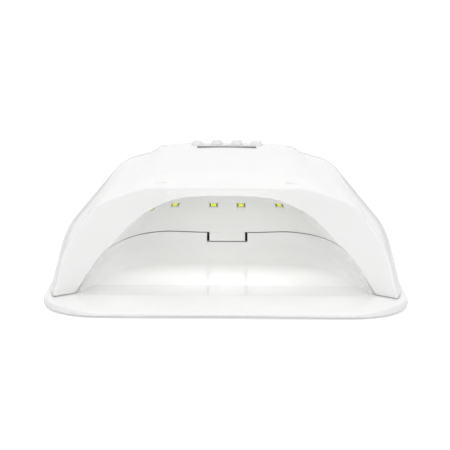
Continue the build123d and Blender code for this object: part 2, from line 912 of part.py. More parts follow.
def led_opening(plane):
    """Opening of the liner round an LED, and the bevel that widens it towards the hand."""
    width = led_width + 2 * led_gap
    height = led_height + 2 * led_gap
    through = on(plane, -2 * liner_wall, slab(width, height, 2 * liner_wall + pad_lift + cut_past))
    narrow = Wire.make_rect(width, height)
    wide = Wire.make_rect(width + 2 * led_bevel, height + 2 * led_bevel)
    top = on(plane, led_bevel_top, narrow)
    bottom = on(plane, led_bevel_top - led_bevel_depth, wide)
    return [through, Solid.make_loft([bottom, top], ruled=True)]


def sensor_eyes(plane, radius, height_from, height_to):
    """Two round eyes of the hand sensor."""
    spots = (-sensor_eye_pitch / 2, sensor_eye_pitch / 2)
    return [on(plane, height_from, Pos(x, 0, 0) * rod(radius, height_to - height_from)) for x in spots]


def dish_back_at(z):
    """Y of the hand rest's back wall at a height between floor and seam."""
    fall = (seam_z - z) / (seam_z - floor_z)
    return lerp(floor_back_y, arch_back_y, math.sqrt(max(0.0, 1 - fall * fall)))


def liner_tab():
    """Tab below the liner's back edge, whose face leans like the wall of the hand rest."""
    inside = arch_back_y + tab_step
    outside = arch_back_y + liner_wall - tab_step
    profile = [
        (inside, seam_z + tab_root),
        (inside, seam_z - tab_root),
        (dish_back_at(tab_foot_z) + tab_step, tab_foot_z),
        (outside, tab_foot_z),
        (outside, seam_z + tab_root),
    ]
    face = Face(Wire.make_polygon([Vector(-tab_half_width, y, z) for y, z in profile], close=True))
    return extrude(face, 2 * tab_half_width, dir=(1, 0, 0))


def inner_liner():
    """Arch over the hand: pads, pegs and openings, a flange along the seam, a tab below its back edge."""
    stations = led_stations()
    pads = [board_pad(plane, led_board_width) for plane in stations]
    pads.append(board_pad(sensor_station(), sensor_board_width))
    flange = plan_prism(frame_wall_x() + liner_wall, frame_wall_back() + liner_wall,
                        seam_z, seam_z + liner_wall)
    throughs, bevels = zip(*[led_opening(plane) for plane in stations])
    eyes = sensor_eyes(sensor_station(), sensor_eye_radius + sensor_eye_gap,
                       -2 * liner_wall, pad_lift + cut_past)
    pegs = [peg for plane in stations for peg in board_pegs(plane, led_board_width)]
    pegs += board_pegs(sensor_station(), sensor_board_width)
    liner = arch_solid(liner_wall) + pads + flange
    liner -= arch_solid(0)
    liner -= below_seam(0) + front_of(bezel_back_y() + seat_gap)
    liner += pegs
    liner -= list(throughs)
    liner -= list(bevels)
    liner -= eyes
    return liner + liner_tab()


def led_stations():
    """All stations that carry an LED."""
    return mirrored_ring(low_ring) + mirrored_ring(high_ring)


def sensor_station():
    """Station of the hand sensor, in front of the LEDs."""
    return station(180.0, sensor_elevation)


def frame_wall_x():
    """Half width inside the frame's standing wall, which runs round the tray's ridge."""
    return ridge_side_x + body_gap


def frame_wall_back():
    """Back of the space inside the frame's standing wall."""
    return arch_back_y + ridge_back_wall + body_gap


def bottom_frame():
    """Flat frame that closes the head from below, with a standing wall under the liner's flange."""
    middle_z = head_base_z + frame_thickness / 2
    band = Pos(0, 0, middle_z) * Box(4 * crest_half_width, 4 * back_y, frame_thickness)
    frame = head_form(1, seat_gap + frame_side_gap) & band
    frame += plan_prism(frame_wall_x() + liner_wall, frame_wall_back() + liner_wall,
                        head_base_z, seam_z - seat_gap)
    frame -= plan_prism(frame_wall_x(), frame_wall_back(), 0, seam_z)
    frame -= front_of(bezel_back_y() + seat_gap)
    boss_top = frame_post_z()
    frame += upright(frame_screw_places, screw_head_radius + boss_wall, head_base_z, boss_top)
    frame += upright(magnet_places, magnet_radius + boss_wall, head_base_z, boss_top)
    frame -= upright(frame_screw_places, screw_shank_radius + screw_clearance, 0, boss_top + cut_past)
    frame -= upright(frame_screw_places, screw_head_radius + screw_clearance, 0,
                     head_base_z + seat_gap + screw_head_height)
    magnet_top = head_base_z - magnet_proud + magnet_height
    frame -= upright(magnet_places, magnet_radius + pocket_gap, 0, magnet_top)
    frame -= upright(inlet_screw_places(), small_screw_radius + small_thread_gap, 0, frame_post_z())
    return frame


def frame_screws():
    """Screws that hold the bottom frame to the cover's posts."""
    screws = []
    head_foot = head_base_z + seat_gap
    for x, y in frame_screw_places:
        screw = Pos(x, y, head_foot) * rod(screw_head_radius, screw_head_height)
        screw += Pos(x, y, head_foot) * rod(screw_shank_radius, screw_head_height + screw_length)
        slot = Pos(x, y, head_foot) * slab(2 * screw_head_radius, slot_width, slot_width)
        screws.append(screw - slot)
    return Compound(children=screws)


def board_screws():
    """Screws that hold the control board to its posts, driven from below."""
    screws = []
    board_foot = board_top() - board_thickness
    for x, y in board_post_places():
        screw = Pos(x, y, board_foot - screw_head_height) * rod(screw_head_radius, screw_head_height)
        screw += Pos(x, y, board_foot - screw_head_height) * rod(
            screw_shank_radius, screw_head_height + board_screw_length)
        slot = slab(2 * screw_head_radius, slot_width, slot_width)
        screws.append(screw - Pos(x, y, board_foot - screw_head_height) * slot)
    return Compound(children=screws)


def control_board():
    """Board under the deck, with its screw holes."""
    depth = board_back_y - board_front_y
    board = Pos(0, (board_back_y + board_front_y) / 2, board_top() - board_thickness) * slab(
        2 * board_half_width, depth, board_thickness)
    return board - upright(board_post_places(), screw_shank_radius + screw_clearance,
                           board_top() - hole_reach, board_top() + hole_reach)


def tact_switches():
    """Four switch bodies on the control board, each bored for its plunger."""
    bodies = []
    for x, y in button_places():
        body = Pos(x, y, board_top()) * slab(switch_side, switch_side, switch_height)
        root = plunger_root - button_travel - plunger_gap
        body -= Pos(x, y, board_top() + root) * rod(plunger_radius + plunger_gap, switch_height)
        bodies.append(body)
    return Compound(children=bodies)


def plunger_top():
    """Upper face of a switch plunger at rest."""
    return board_top() + switch_height + plunger_proud


def switch_plunger(x, y):
    """Plunger of one switch, under its button."""
    foot = board_top() + plunger_root
    return Pos(x, y, foot) * rod(plunger_radius, plunger_top() - foot)


def button(x, y):
    """Push button: tapered cap above the deck, flange below it, stem down to the plunger."""
    deck = deck_height_at(x, y)
    edge_x = abs(x) + button_flange_radius
    edge_y = y + button_flange_radius
    flange_top = deck_height_at(edge_x, edge_y) - cover_wall - seat_gap
    flange_foot = flange_top - button_flange_thickness
    body = Pos(x, y, flange_foot) * rod(button_radius, deck + button_collar - flange_foot)
    cone = Cone(button_radius, button_top_radius, button_proud - button_collar,
                align=(Align.CENTER, Align.CENTER, Align.MIN))
    cap = Pos(x, y, deck + button_collar) * cone
    cap = fillet(cap.edges().group_by(Axis.Z)[-1], button_round)
    flange = Pos(x, y, flange_foot) * rod(button_flange_radius, button_flange_thickness)
    stem = Pos(x, y, plunger_top()) * rod(button_stem_radius, flange_foot - plunger_top())
    return body + cap + flange + stem


def display_module():
    """Two-digit display block between the control board and the window."""
    height = window_floor() - seat_gap - board_top()
    middle_y = window_front_y + window_depth / 2
    return Pos(0, middle_y, board_top()) * slab(display_width, display_depth, height)


def board_components():
    """Chip, coil and plug housings on the underside of the control board."""
    foot = board_top() - board_thickness
    chip = Pos(*chip_place, foot - chip_height) * slab(chip_width, chip_width, chip_height)
    coil = Pos(*coil_place, foot - coil_height) * rod(coil_radius, coil_height)
    plugs = [Pos(x, board_back_y - plug_depth / 2, foot - plug_height) * slab(
        plug_width, plug_depth, plug_height) for x in plug_places()]
    return Compound(children=[chip, coil] + plugs)


def plug_places():
    """Places across the board of the four plug housings."""
    outer = outer_plug_factor * wire_plug_x
    return [-outer, -wire_plug_x, wire_plug_x, outer]


def plug_wire_z():
    """Height at which wires enter the plug housings."""
    return board_top() - board_thickness - plug_height / 2


def inlet_board_z():
    """Lower face of the inlet board, on the bottom frame."""
    return head_base_z + frame_thickness


def inlet_front_y():
    """Front face of the inlet's body."""
    return back_y - cover_wall - seat_gap - inlet_body_depth


def inlet_screw_places():
    """Two screws of the inlet board."""
    across, along = inlet_screw_inset
    x = inlet_board_half_width - across
    y = inlet_board_back() - inlet_board_depth + along
    return [(-x, y), (x, y)]


def inlet_board_back():
    """Rear edge of the inlet board."""
    return back_y - cover_wall - 4 * seat_gap


def inlet_board():
    """Board on the bottom frame that carries the inlet."""
    back = inlet_board_back()
    board = Pos(0, back - inlet_board_depth / 2, inlet_board_z()) * slab(
        2 * inlet_board_half_width, inlet_board_depth, board_thickness)
    return board - upright(inlet_screw_places(), small_screw_radius + screw_clearance,
                           0, frame_post_z() + hole_reach)


def inlet_screws():
    """Small screws that hold the inlet board to the frame."""
    top = inlet_board_z() + board_thickness
    screws = []
    for x, y in inlet_screw_places():
        screw = Pos(x, y, top) * rod(small_head_radius, small_head_height)
        length = board_thickness + frame_thickness - small_tip_room
        screw += Pos(x, y, top - length) * rod(small_screw_radius, length + small_head_height)
        slot = slab(2 * small_head_radius, small_slot_width, small_slot_width)
        screw -= Pos(x, y, top + small_head_height - small_slot_width) * slot
        screws.append(screw)
    return Compound(children=screws)


def inlet_socket():
    """Inlet housing: block on its board, barrel through the cover, bore for the plug."""
    foot = inlet_board_z() + board_thickness
    top = 2 * inlet_z - foot
    block_back = back_y - cover_wall - seat_gap
    block = Pos(0, block_back - inlet_body_depth / 2, foot) * slab(
        inlet_body_width, inlet_body_depth, top - foot)
    face = back_y - seat_gap
    housing = block + along_y(0, inlet_z, inlet_barrel_radius, block_back - cut_past, face)
    return housing - along_y(0, inlet_z, inlet_bore_radius, face - inlet_bore_depth, face + cut_past)


def inlet_pin():
    """Centre pin of the inlet."""
    face = back_y - seat_gap
    return along_y(0, inlet_z, inlet_pin_radius, face - inlet_bore_depth, face - inlet_pin_recess)


def inlet_terminals():
    """Two solder tabs between the inlet and its board."""
    foot = inlet_board_z() + board_thickness
    tab = Pos(0, inlet_front_y() - terminal_thickness / 2, foot) * slab(
        terminal_width, terminal_thickness, terminal_height)
    return Compound(children=[Pos(-terminal_x, 0, 0) * tab, Pos(terminal_x, 0, 0) * tab])


def inlet_capacitor():
    """Round capacitor on the inlet board."""
    foot = inlet_board_z() + board_thickness
    across, along = capacitor_inset
    x = inlet_board_half_width - capacitor_radius - across
    y = inlet_board_back() - inlet_board_depth + capacitor_radius + along
    can = Pos(x, y, foot) * rod(capacitor_radius, capacitor_height)
    return fillet(can.edges().group_by(Axis.Z)[-1], capacitor_round)


def inlet_plug():
    """Plug housing of the power wires on the inlet board."""
    foot = inlet_board_z() + board_thickness
    y = inlet_board_back() - inlet_board_depth + inlet_plug_inset
    return Pos(-wire_plug_x, y, foot) * slab(plug_width, plug_depth, inlet_wire_height)


def routed_tube(points, radius):
    """Round tube along straight runs that are joined by large arcs."""
    path_points = [Vector(*p) for p in points]
    radii = []
    for i in range(1, len(path_points) - 1):
        back = path_points[i - 1] - path_points[i]
        ahead = path_points[i + 1] - path_points[i]
        turn = math.pi - math.acos(back.normalized().dot(ahead.normalized()))
        radii.append(bend_share * min(back.length, ahead.length) / math.tan(turn / 2))
    path = FilletPolyline(*path_points, radius=radii)
    start = Plane(origin=path @ 0, z_dir=path % 0)
    tube = sweep(start * Circle(radius), path=path)
    fullness = tube.volume / (math.pi * radius ** 2 * path.length)
    print("tube", round(fullness, 4), [round(bend, 1) for bend in radii])
    return tube


def power_wires():
    """Two wires from the inlet board up behind the arch to the control board."""
    start_y = inlet_plug().center().Y
    start_z = inlet_board_z() + board_thickness + inlet_wire_height
    end_z = plug_wire_z()
    wires = []
    for side in (-0.5, 0.5):
        x = -wire_plug_x + side * wire_pitch
        route = [
            (x, start_y, start_z),
            (x, start_y, wire_rise_z),
            (x, *wire_knee),
            (x, *wire_crown),
            (x, wire_straight_y, end_z),
            (x, board_back_y, end_z),
        ]
        wires.append(routed_tube(route, wire_radius))
    return Compound(children=wires)


def led_cable(plug_x, plane):
    """Cable from a plug housing of the control board to the outer face of one LED board."""
    height = pad_lift + led_board_thickness
    end = plane.origin + plane.z_dir * height
    before_end = plane.origin + plane.z_dir * (height + cable_end_straight)
    end_z = plug_wire_z()
    direction = Vector(before_end.X - plug_x, before_end.Y - board_back_y, 0)
    reach = min(cable_straight, cable_straight_share * direction.length)
    bend = Vector(plug_x, board_back_y + reach, end_z)
    middle = (bend + before_end) * 0.5 + Vector(0, 0, cable_rise)
    route = [(plug_x, board_back_y, end_z), bend, middle, before_end, end]
    return routed_tube([Vector(*p) if isinstance(p, tuple) else p for p in route], cable_radius)


def along_board(plane, direction):
    """Step across a board, from its middle to where a jumper is soldered."""
    flat = direction - plane.z_dir * direction.dot(plane.z_dir)
    return flat.normalized() * jumper_solder_step


def jumper(first, second):
    """Short wire that arches from one LED board to the next."""
    height = pad_lift + led_board_thickness + jumper_clearance
    chord = second.origin - first.origin
    start = first.origin + first.z_dir * height + along_board(first, chord)
    end = second.origin + second.z_dir * height - along_board(second, chord)
    lift = (first.z_dir + second.z_dir).normalized() * jumper_lift
    path = Edge.make_three_point_arc(start, (start + end) * 0.5 + lift, end)
    profile = Plane(origin=path @ 0, z_dir=path % 0) * Circle(jumper_radius)
    return sweep(profile, path=path)


def led_jumpers():
    """Jumpers along both rings of LED boards."""
    wires = []
    for ring in (mirrored_ring(low_ring), mirrored_ring(high_ring)):
        wires += [jumper(first, second) for first, second in zip(ring, ring[1:])]
    return Compound(children=wires)


def ring_boards(planes):
    """Group of LED boards."""
    return Compound(children=[board_on_pad(plane, led_board_width) for plane in planes])


def ring_leds(planes):
    """Group of LEDs."""
    return Compound(children=[led_package(plane) for plane in planes])


def build_pieces():
    """Every piece of the lamp by name."""
    low = mirrored_ring(low_ring)
    high = mirrored_ring(high_ring)
    rear = low[2:8]
    sides = low[:2] + low[8:]
    flange_magnet_z = head_base_z - magnet_proud
    eyes = sensor_eyes(sensor_station(), sensor_eye_radius, pad_lift - sensor_eye_length, pad_lift)
    plugs = plug_places()
    pieces = {
        "base_tray": base_tray(),
        "tray_feet": disc_group(foot_places, foot_radius, 0, foot_height),
        "tray_magnets": disc_group(magnet_places, magnet_radius,
                                   flange_magnet_z - magnet_height, flange_magnet_z),
        "outer_cover": outer_cover(),
        "inner_liner": inner_liner(),
        "mouth_bezel": mouth_bezel(),
        "bottom_frame": bottom_frame(),
        "head_magnets": disc_group(magnet_places, magnet_radius,
                                   flange_magnet_z, flange_magnet_z + magnet_height),
        "frame_screws": frame_screws(),
        "display_window": display_window(),
        "display_module": display_module(),
        "control_board": control_board(),
        "board_screws": board_screws(),
        "board_components": board_components(),
        "tact_switches": tact_switches(),
        "led_boards_rear": ring_boards(rear),
        "led_boards_sides": ring_boards(sides),
        "led_boards_top": ring_boards(high),
        "leds_rear": ring_leds(rear),
        "leds_sides": ring_leds(sides),
        "leds_top": ring_leds(high),
        "sensor_board": board_on_pad(sensor_station(), sensor_board_width),
        "sensor_emitter": eyes[0],
        "sensor_receiver": eyes[1],
        "inlet_socket": inlet_socket(),
        "inlet_pin": inlet_pin(),
        "inlet_terminals": inlet_terminals(),
        "inlet_board": inlet_board(),
        "inlet_screws": inlet_screws(),
        "inlet_capacitor": inlet_capacitor(),
        "inlet_plug": inlet_plug(),
        "power_wires": power_wires(),
        "led_cable_left": led_cable(plugs[0], low[1]),
        "led_cable_top": led_cable(plugs[2], high[3]),
        "led_cable_right": led_cable(plugs[3], low[8]),
        "led_jumpers": led_jumpers(),
    }
    for name, (x, y) in zip(button_names, button_places()):
        pieces["button_" + name] = button(x, y)
        pieces["switch_plunger_" + name] = switch_plunger(x, y)
    return pieces


for piece_name, piece in build_pieces().items():
    export_step(piece, "parts/" + piece_name + ".step")
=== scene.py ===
"""A table-top LED nail lamp: a white domed head over an open hand space, on a loose tray."""

import json
import logging
import math
from dataclasses import dataclass
from enum import Enum
from functools import lru_cache
from typing import Optional, Sequence

import bmesh
import bpy
import numpy as np
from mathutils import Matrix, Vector

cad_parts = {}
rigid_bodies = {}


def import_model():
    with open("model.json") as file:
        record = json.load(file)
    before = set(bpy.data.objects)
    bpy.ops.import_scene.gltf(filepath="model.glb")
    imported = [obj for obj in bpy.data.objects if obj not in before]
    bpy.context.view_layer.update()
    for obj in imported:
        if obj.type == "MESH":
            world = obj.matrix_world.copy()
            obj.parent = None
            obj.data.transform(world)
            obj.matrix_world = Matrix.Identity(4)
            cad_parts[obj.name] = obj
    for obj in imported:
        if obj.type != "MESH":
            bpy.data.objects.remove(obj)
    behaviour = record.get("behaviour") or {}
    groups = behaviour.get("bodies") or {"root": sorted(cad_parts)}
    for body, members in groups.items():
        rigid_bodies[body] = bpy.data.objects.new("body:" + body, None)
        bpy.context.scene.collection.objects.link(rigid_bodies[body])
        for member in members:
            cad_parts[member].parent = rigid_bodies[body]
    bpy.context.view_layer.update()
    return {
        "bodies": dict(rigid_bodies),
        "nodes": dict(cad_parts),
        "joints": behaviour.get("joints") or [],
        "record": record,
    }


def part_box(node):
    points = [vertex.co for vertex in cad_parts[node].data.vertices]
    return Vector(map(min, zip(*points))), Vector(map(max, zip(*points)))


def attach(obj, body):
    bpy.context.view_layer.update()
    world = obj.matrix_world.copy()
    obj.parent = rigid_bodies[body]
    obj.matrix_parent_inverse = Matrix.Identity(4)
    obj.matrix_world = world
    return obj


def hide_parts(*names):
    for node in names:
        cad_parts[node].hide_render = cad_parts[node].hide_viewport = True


LOG = logging.getLogger("nail_lamp")
MM = 0.001
IMAGE_SIDE = 450
SENSOR_WIDTH = 36.0

# The point that the camera and two of the lights look at, in metres.
TARGET = (0.0, 0.0, 0.04046)
# The largest share of a side that a corner's arc takes, and the least radius of a moved corner.
CORNER_SHARE = 0.47
LEAST_RADIUS = 1.0
# Points nearer than the first distance are joined, and edges shorter than the second are dropped.
WELD_REACH = 0.002 * MM
SLIVER_REACH = 0.001 * MM
# Socket numbers of a mix node for colours, because the names of its sockets repeat.
MIX_SHARE = 0
MIX_COLOURS = (6, 7)
MIX_RESULT = 2

Socket = bpy.types.NodeSocket
Colour = tuple[float, float, float]
Point = tuple[float, float, float]
Pair = tuple[float, float]
Profile = tuple[Pair, ...]
Ring = tuple[np.ndarray, float]


class ShaderGraph:
    """Builder of one node material, whose patterns sit on object coordinates in metres."""

    def __init__(self, name: str) -> None:
        """Start an empty material with a Principled shader.

        Args:
            name: Name of the material.
        """
        self.material = bpy.data.materials.new(name)
        self.material.use_nodes = True
        self.tree = self.material.node_tree
        self.shader = self.tree.nodes["Principled BSDF"]
        self.place = self.tree.nodes.new("ShaderNodeTexCoord").outputs["Object"]

    def set(self, socket: str, value: object) -> None:
        """Set one socket of the shader to a plain value."""
        self.shader.inputs[socket].default_value = value

    def feed(self, source: Socket, socket: str) -> None:
        """Link a source to one socket of the shader."""
        self.tree.links.new(source, self.shader.inputs[socket])

    def node(self, kind: str, **values: object) -> bpy.types.Node:
        """Add a node.

        Args:
            kind: Type name of the node.
            values: Attributes of the node.

        Returns:
            The new node.
        """
        made = self.tree.nodes.new(kind)
        for key, value in values.items():
            setattr(made, key, value)
        return made

    def stretched(self, stretch: Point) -> Socket:
        """Give the object coordinates, multiplied along each axis.

        Args:
            stretch: Factor along each axis.

        Returns:
            The vector socket.
        """
        mapping = self.node("ShaderNodeMapping")
        mapping.inputs["Scale"].default_value = stretch
        self.tree.links.new(self.place, mapping.inputs["Vector"])
        return mapping.outputs["Vector"]

    def noise(self, scale: float, detail: float = 2.0, stretch: Point = (1, 1, 1)) -> Socket:
        """Give a soft noise between 0 and 1.

        Args:
            scale: Cycles per metre.
            detail: Octaves on top of the first.
            stretch: Scale along each axis.

        Returns:
            The noise's factor socket.
        """
        made = self.node("ShaderNodeTexNoise")
        made.inputs["Scale"].default_value = scale
        made.inputs["Detail"].default_value = detail
        self.tree.links.new(self.stretched(stretch), made.inputs["Vector"])
        return made.outputs["Fac"]

    def ramp(self, source: Socket, places: Pair, *colours: Colour) -> Socket:
        """Turn a factor into a colour between two.

        Args:
            source: Factor.
            places: The two places along the factor where the colours are pure.
            colours: The two colours.

        Returns:
            The colour socket.
        """
        made = self.node("ShaderNodeValToRGB")
        for element, place, colour in zip(made.color_ramp.elements, places, colours):
            element.position = place
            element.color = (*colour, 1.0)
        self.tree.links.new(source, made.inputs["Fac"])
        return made.outputs["Color"]

    def span(self, source: Socket, low: float, high: float) -> Socket:
        """Stretch a factor from 0 and 1 to low and high.

        Args:
            source: Factor.
            low: Result where the factor is 0.
            high: Result where the factor is 1.

        Returns:
            The result's socket.
        """
        made = self.node("ShaderNodeMapRange")
        made.inputs["To Min"].default_value = low
        made.inputs["To Max"].default_value = high
        self.tree.links.new(source, made.inputs["Value"])
        return made.outputs["Result"]

    def sheen(self, source: Socket, roughness: float, factors: Pair) -> None:
        """Let the roughness wander between two multiples of a value."""
        self.feed(self.span(source, *(roughness * factor for factor in factors)), "Roughness")

    def coat(self, weight: float, roughness: float) -> None:
        """Add a clear top layer."""
        self.set("Coat Weight", weight)
        self.set("Coat Roughness", roughness)

    def mixed(self, share: Socket, *colours: Colour) -> Socket:
        """Mix two colours.

        Args:
            share: Share of the second colour.
            colours: The two colours.

        Returns:
            The colour socket.
        """
        made = self.node("ShaderNodeMix", data_type="RGBA")
        self.tree.links.new(share, made.inputs[MIX_SHARE])
        for number, colour in zip(MIX_COLOURS, colours):
            made.inputs[number].default_value = (*colour, 1.0)
        return made.outputs[MIX_RESULT]

    def bump(self, height: Socket, depth: float) -> None:
        """Raise the surface by a height factor.

        Args:
            height: Factor between 0 and 1.
            depth: Height of the relief in metres.
        """
        made = self.node("ShaderNodeBump")
        made.inputs["Strength"].default_value = 1.0
        made.inputs["Distance"].default_value = depth
        self.tree.links.new(height, made.inputs["Height"])
        self.feed(made.outputs["Normal"], "Normal")


class Gloss(Enum):
    """How shiny a moulded surface is: roughness and the strength of its clear top layer."""

    POLISHED = (0.16, 0.35)
    SATIN = (0.32, 0.12)
    MATT = (0.55, 0.0)


@dataclass(frozen=True)
class MouldedPlastic:
    """Moulded plastic: a faint flow cloud in its colour, orange peel, and hairline rubs in its gloss."""

    name: str
    tint: Colour
    gloss: Gloss = Gloss.SATIN
    cloud: float = 0.02
    cloud_scale: float = 14.0
    cloud_places: Pair = (0.35, 0.65)
    peel_scale: float = 900.0
    peel_depth: float = 0.000006
    rub_scale: float = 220.0
    rub_stretch: Point = (1.0, 0.25, 1.0)
    rub_factors: Pair = (0.85, 1.2)
    coat_roughness: float = 0.1
    translucency: float = 0.0
    light_reach: Point = (0.004, 0.004, 0.0035)

    def material(self) -> bpy.types.Material:
        """Build the material.

        Returns:
            The new material.
        """
        graph = ShaderGraph(self.name)
        dark = tuple(channel * (1 - self.cloud) for channel in self.tint)
        cloud = graph.noise(self.cloud_scale, 3.0)
        graph.feed(graph.ramp(cloud, self.cloud_places, dark, self.tint), "Base Color")
        roughness, coat = self.gloss.value
        rubs = graph.noise(self.rub_scale, 4.0, self.rub_stretch)
        graph.sheen(rubs, roughness, self.rub_factors)
        graph.coat(coat, self.coat_roughness)
        if self.translucency:
            graph.set("Subsurface Weight", self.translucency)
            graph.set("Subsurface Radius", self.light_reach)
            graph.set("Subsurface Scale", 1.0)
        graph.bump(graph.noise(self.peel_scale, 1.0), self.peel_depth)
        return graph.material


@dataclass(frozen=True)
class SoftRubber:
    """Rubber: matt, with a fine grain and paler dust in its hollows."""

    name: str
    tint: Colour
    dust_gain: float = 1.15
    dust_lift: float = 0.02
    dust_scale: float = 120.0
    dust_places: Pair = (0.4, 0.75)
    sheen_scale: float = 300.0
    roughness: Pair = (0.7, 0.88)
    grain_scale: float = 1600.0
    grain_depth: float = 0.00002

    def material(self) -> bpy.types.Material:
        """Build the material.

        Returns:
            The new material.
        """
        graph = ShaderGraph(self.name)
        dust = tuple(min(1.0, channel * self.dust_gain + self.dust_lift) for channel in self.tint)
        patches = graph.noise(self.dust_scale, 4.0)
        graph.feed(graph.ramp(patches, self.dust_places, self.tint, dust), "Base Color")
        graph.feed(graph.span(graph.noise(self.sheen_scale), *self.roughness), "Roughness")
        graph.bump(graph.noise(self.grain_scale, 2.0), self.grain_depth)
        return graph.material


@dataclass(frozen=True)
class PlatedMetal:
    """Plated metal: drawn or turned marks along one axis, and a slight stain."""

    name: str
    tint: Colour
    roughness: float = 0.28
    stain: float = 0.82
    stain_scale: float = 180.0
    stain_places: Pair = (0.3, 0.6)
    mark_scale: float = 900.0
    mark_stretch: Point = (1.0, 1.0, 12.0)
    mark_factors: Pair = (0.7, 1.4)
    mark_depth: float = 0.000008

    def material(self) -> bpy.types.Material:
        """Build the material.

        Returns:
            The new material.
        """
        graph = ShaderGraph(self.name)
        graph.set("Metallic", 1.0)
        stain = tuple(channel * self.stain for channel in self.tint)
        patches = graph.noise(self.stain_scale, 5.0)
        graph.feed(graph.ramp(patches, self.stain_places, stain, self.tint), "Base Color")
        marks = graph.noise(self.mark_scale, 3.0, self.mark_stretch)
        graph.sheen(marks, self.roughness, self.mark_factors)
        graph.bump(marks, self.mark_depth)
        return graph.material


@dataclass(frozen=True)
class BoardLaminate:
    """Circuit board: solder mask over a net of copper tracks, which stand up a little."""

    name: str
    mask: Colour
    track: Colour
    track_pitch: float = 420.0
    track_width: float = 0.035
    track_height: float = 0.00003
    patch: float = 0.1
    sheen_scale: float = 700.0
    roughness: Pair = (0.3, 0.45)

    def material(self) -> bpy.types.Material:
        """Build the material.

        Returns:
            The new material.
        """
        graph = ShaderGraph(self.name)
        cells = graph.node("ShaderNodeTexBrick")
        cells.inputs["Scale"].default_value = self.track_pitch
        cells.inputs["Mortar Size"].default_value = self.track_width
        for socket, level in (("Color1", 0.0), ("Color2", self.patch), ("Mortar", 1.0)):
            cells.inputs[socket].default_value = (level, level, level, 1.0)
        graph.tree.links.new(graph.place, cells.inputs["Vector"])
        graph.feed(graph.mixed(cells.outputs["Color"], self.mask, self.track), "Base Color")
        graph.feed(graph.span(graph.noise(self.sheen_scale), *self.roughness), "Roughness")
        graph.bump(cells.outputs["Color"], self.track_height)
        return graph.material


@dataclass(frozen=True)
class ClearResin:
    """Cast resin of a window, a lens or an LED: glossy, with a slow cloud in its colour, and, where a glow
    is given, painted light: it shines in its own colour though it is no lamp.
    """

    name: str
    tint: Colour
    deep: Colour
    roughness: float = 0.12
    painted_glow: float = 0.0
    refraction: float = 1.5
    coat: float = 0.4
    coat_roughness: float = 0.06
    cloud_scale: float = 500.0
    cloud_places: Pair = (0.3, 0.7)
    sheen_scale: float = 260.0
    sheen_factors: Pair = (0.8, 1.3)
    ripple_scale: float = 1200.0
    ripple_depth: float = 0.000004

    def material(self) -> bpy.types.Material:
        """Build the material.

        Returns:
            The new material.
        """
        graph = ShaderGraph(self.name)
        colour = graph.ramp(graph.noise(self.cloud_scale, 3.0), self.cloud_places, self.deep, self.tint)
        graph.feed(colour, "Base Color")
        graph.sheen(graph.noise(self.sheen_scale), self.roughness, self.sheen_factors)
        graph.set("IOR", self.refraction)
        graph.coat(self.coat, self.coat_roughness)
        # Painted light: an emission in the resin's own colour brightens a part that is not lit.
        if self.painted_glow:
            graph.feed(colour, "Emission Color")
            graph.set("Emission Strength", self.painted_glow)
        graph.bump(graph.noise(self.ripple_scale), self.ripple_depth)
        return graph.material


@dataclass(frozen=True)
class CableJacket:
    """Wire insulation: soft sheen, paler where it is worn, with fine marks left by the extruder."""

    name: str
    tint: Colour
    wear_gain: float = 1.3
    wear_lift: float = 0.02
    wear_scale: float = 90.0
    wear_places: Pair = (0.45, 0.8)
    sheen_scale: float = 400.0
    roughness: Pair = (0.38, 0.55)
    ring_scale: float = 1500.0
    ring_stretch: Point = (1.0, 1.0, 2.0)
    ring_depth: float = 0.00001

    def material(self) -> bpy.types.Material:
        """Build the material.

        Returns:
            The new material.
        """
        graph = ShaderGraph(self.name)
        worn = tuple(min(1.0, channel * self.wear_gain + self.wear_lift) for channel in self.tint)
        patches = graph.noise(self.wear_scale, 4.0)
        graph.feed(graph.ramp(patches, self.wear_places, self.tint, worn), "Base Color")
        graph.feed(graph.span(graph.noise(self.sheen_scale), *self.roughness), "Roughness")
        graph.bump(graph.noise(self.ring_scale, 1.0, self.ring_stretch), self.ring_depth)
        return graph.material


FINISHES = {
    "white_shell": MouldedPlastic("white shell", (0.94, 0.94, 0.935), Gloss.POLISHED, translucency=0.05),
    "white_liner": MouldedPlastic("white liner", (0.935, 0.935, 0.925), Gloss.SATIN),
    "button_white": MouldedPlastic("button white", (0.95, 0.95, 0.945), Gloss.POLISHED),
    "foot_rubber": SoftRubber("foot rubber", (0.5, 0.49, 0.47)),
    "magnet_nickel": PlatedMetal("magnet nickel", (0.72, 0.71, 0.68), 0.22),
    "screw_steel": PlatedMetal("screw steel", (0.6, 0.61, 0.63), 0.3),
    "window_tint": ClearResin("window tint", (0.045, 0.038, 0.033), (0.03, 0.026, 0.022), 0.06,
                              refraction=2.4, coat=1.0),
    "black_plastic": MouldedPlastic("black plastic", (0.022, 0.022, 0.024), Gloss.MATT, cloud=0.2),
    "connector_nylon": MouldedPlastic("connector nylon", (0.78, 0.75, 0.66), Gloss.SATIN),
    "capacitor_can": PlatedMetal("capacitor can", (0.1, 0.12, 0.2), 0.4),
    "board_laminate": BoardLaminate("board laminate", (0.74, 0.76, 0.74), (0.6, 0.56, 0.42)),
    "led_amber": ClearResin("led body", (0.78, 0.78, 0.6), (0.7, 0.7, 0.5)),
    # The phosphor's glow of 0.2 is painted light: the LEDs are not lit.
    "phosphor": ClearResin("led phosphor", (0.86, 0.93, 0.07), (0.8, 0.87, 0.05), 0.3, 0.2),
    "contact_metal": PlatedMetal("led contact", (0.16, 0.13, 0.08), 0.45),
    "sensor_lens": ClearResin("sensor lens", (0.05, 0.03, 0.07), (0.02, 0.01, 0.03)),
    "plated_brass": PlatedMetal("plated brass", (0.75, 0.62, 0.36), 0.25),
    "wire_pvc": CableJacket("wire insulation", (0.42, 0.03, 0.02)),
}


@lru_cache(maxsize=None)
def finish_material(name: str) -> bpy.types.Material:
    """Material of a finish, made when it is first asked for."""
    return FINISHES[name].material()


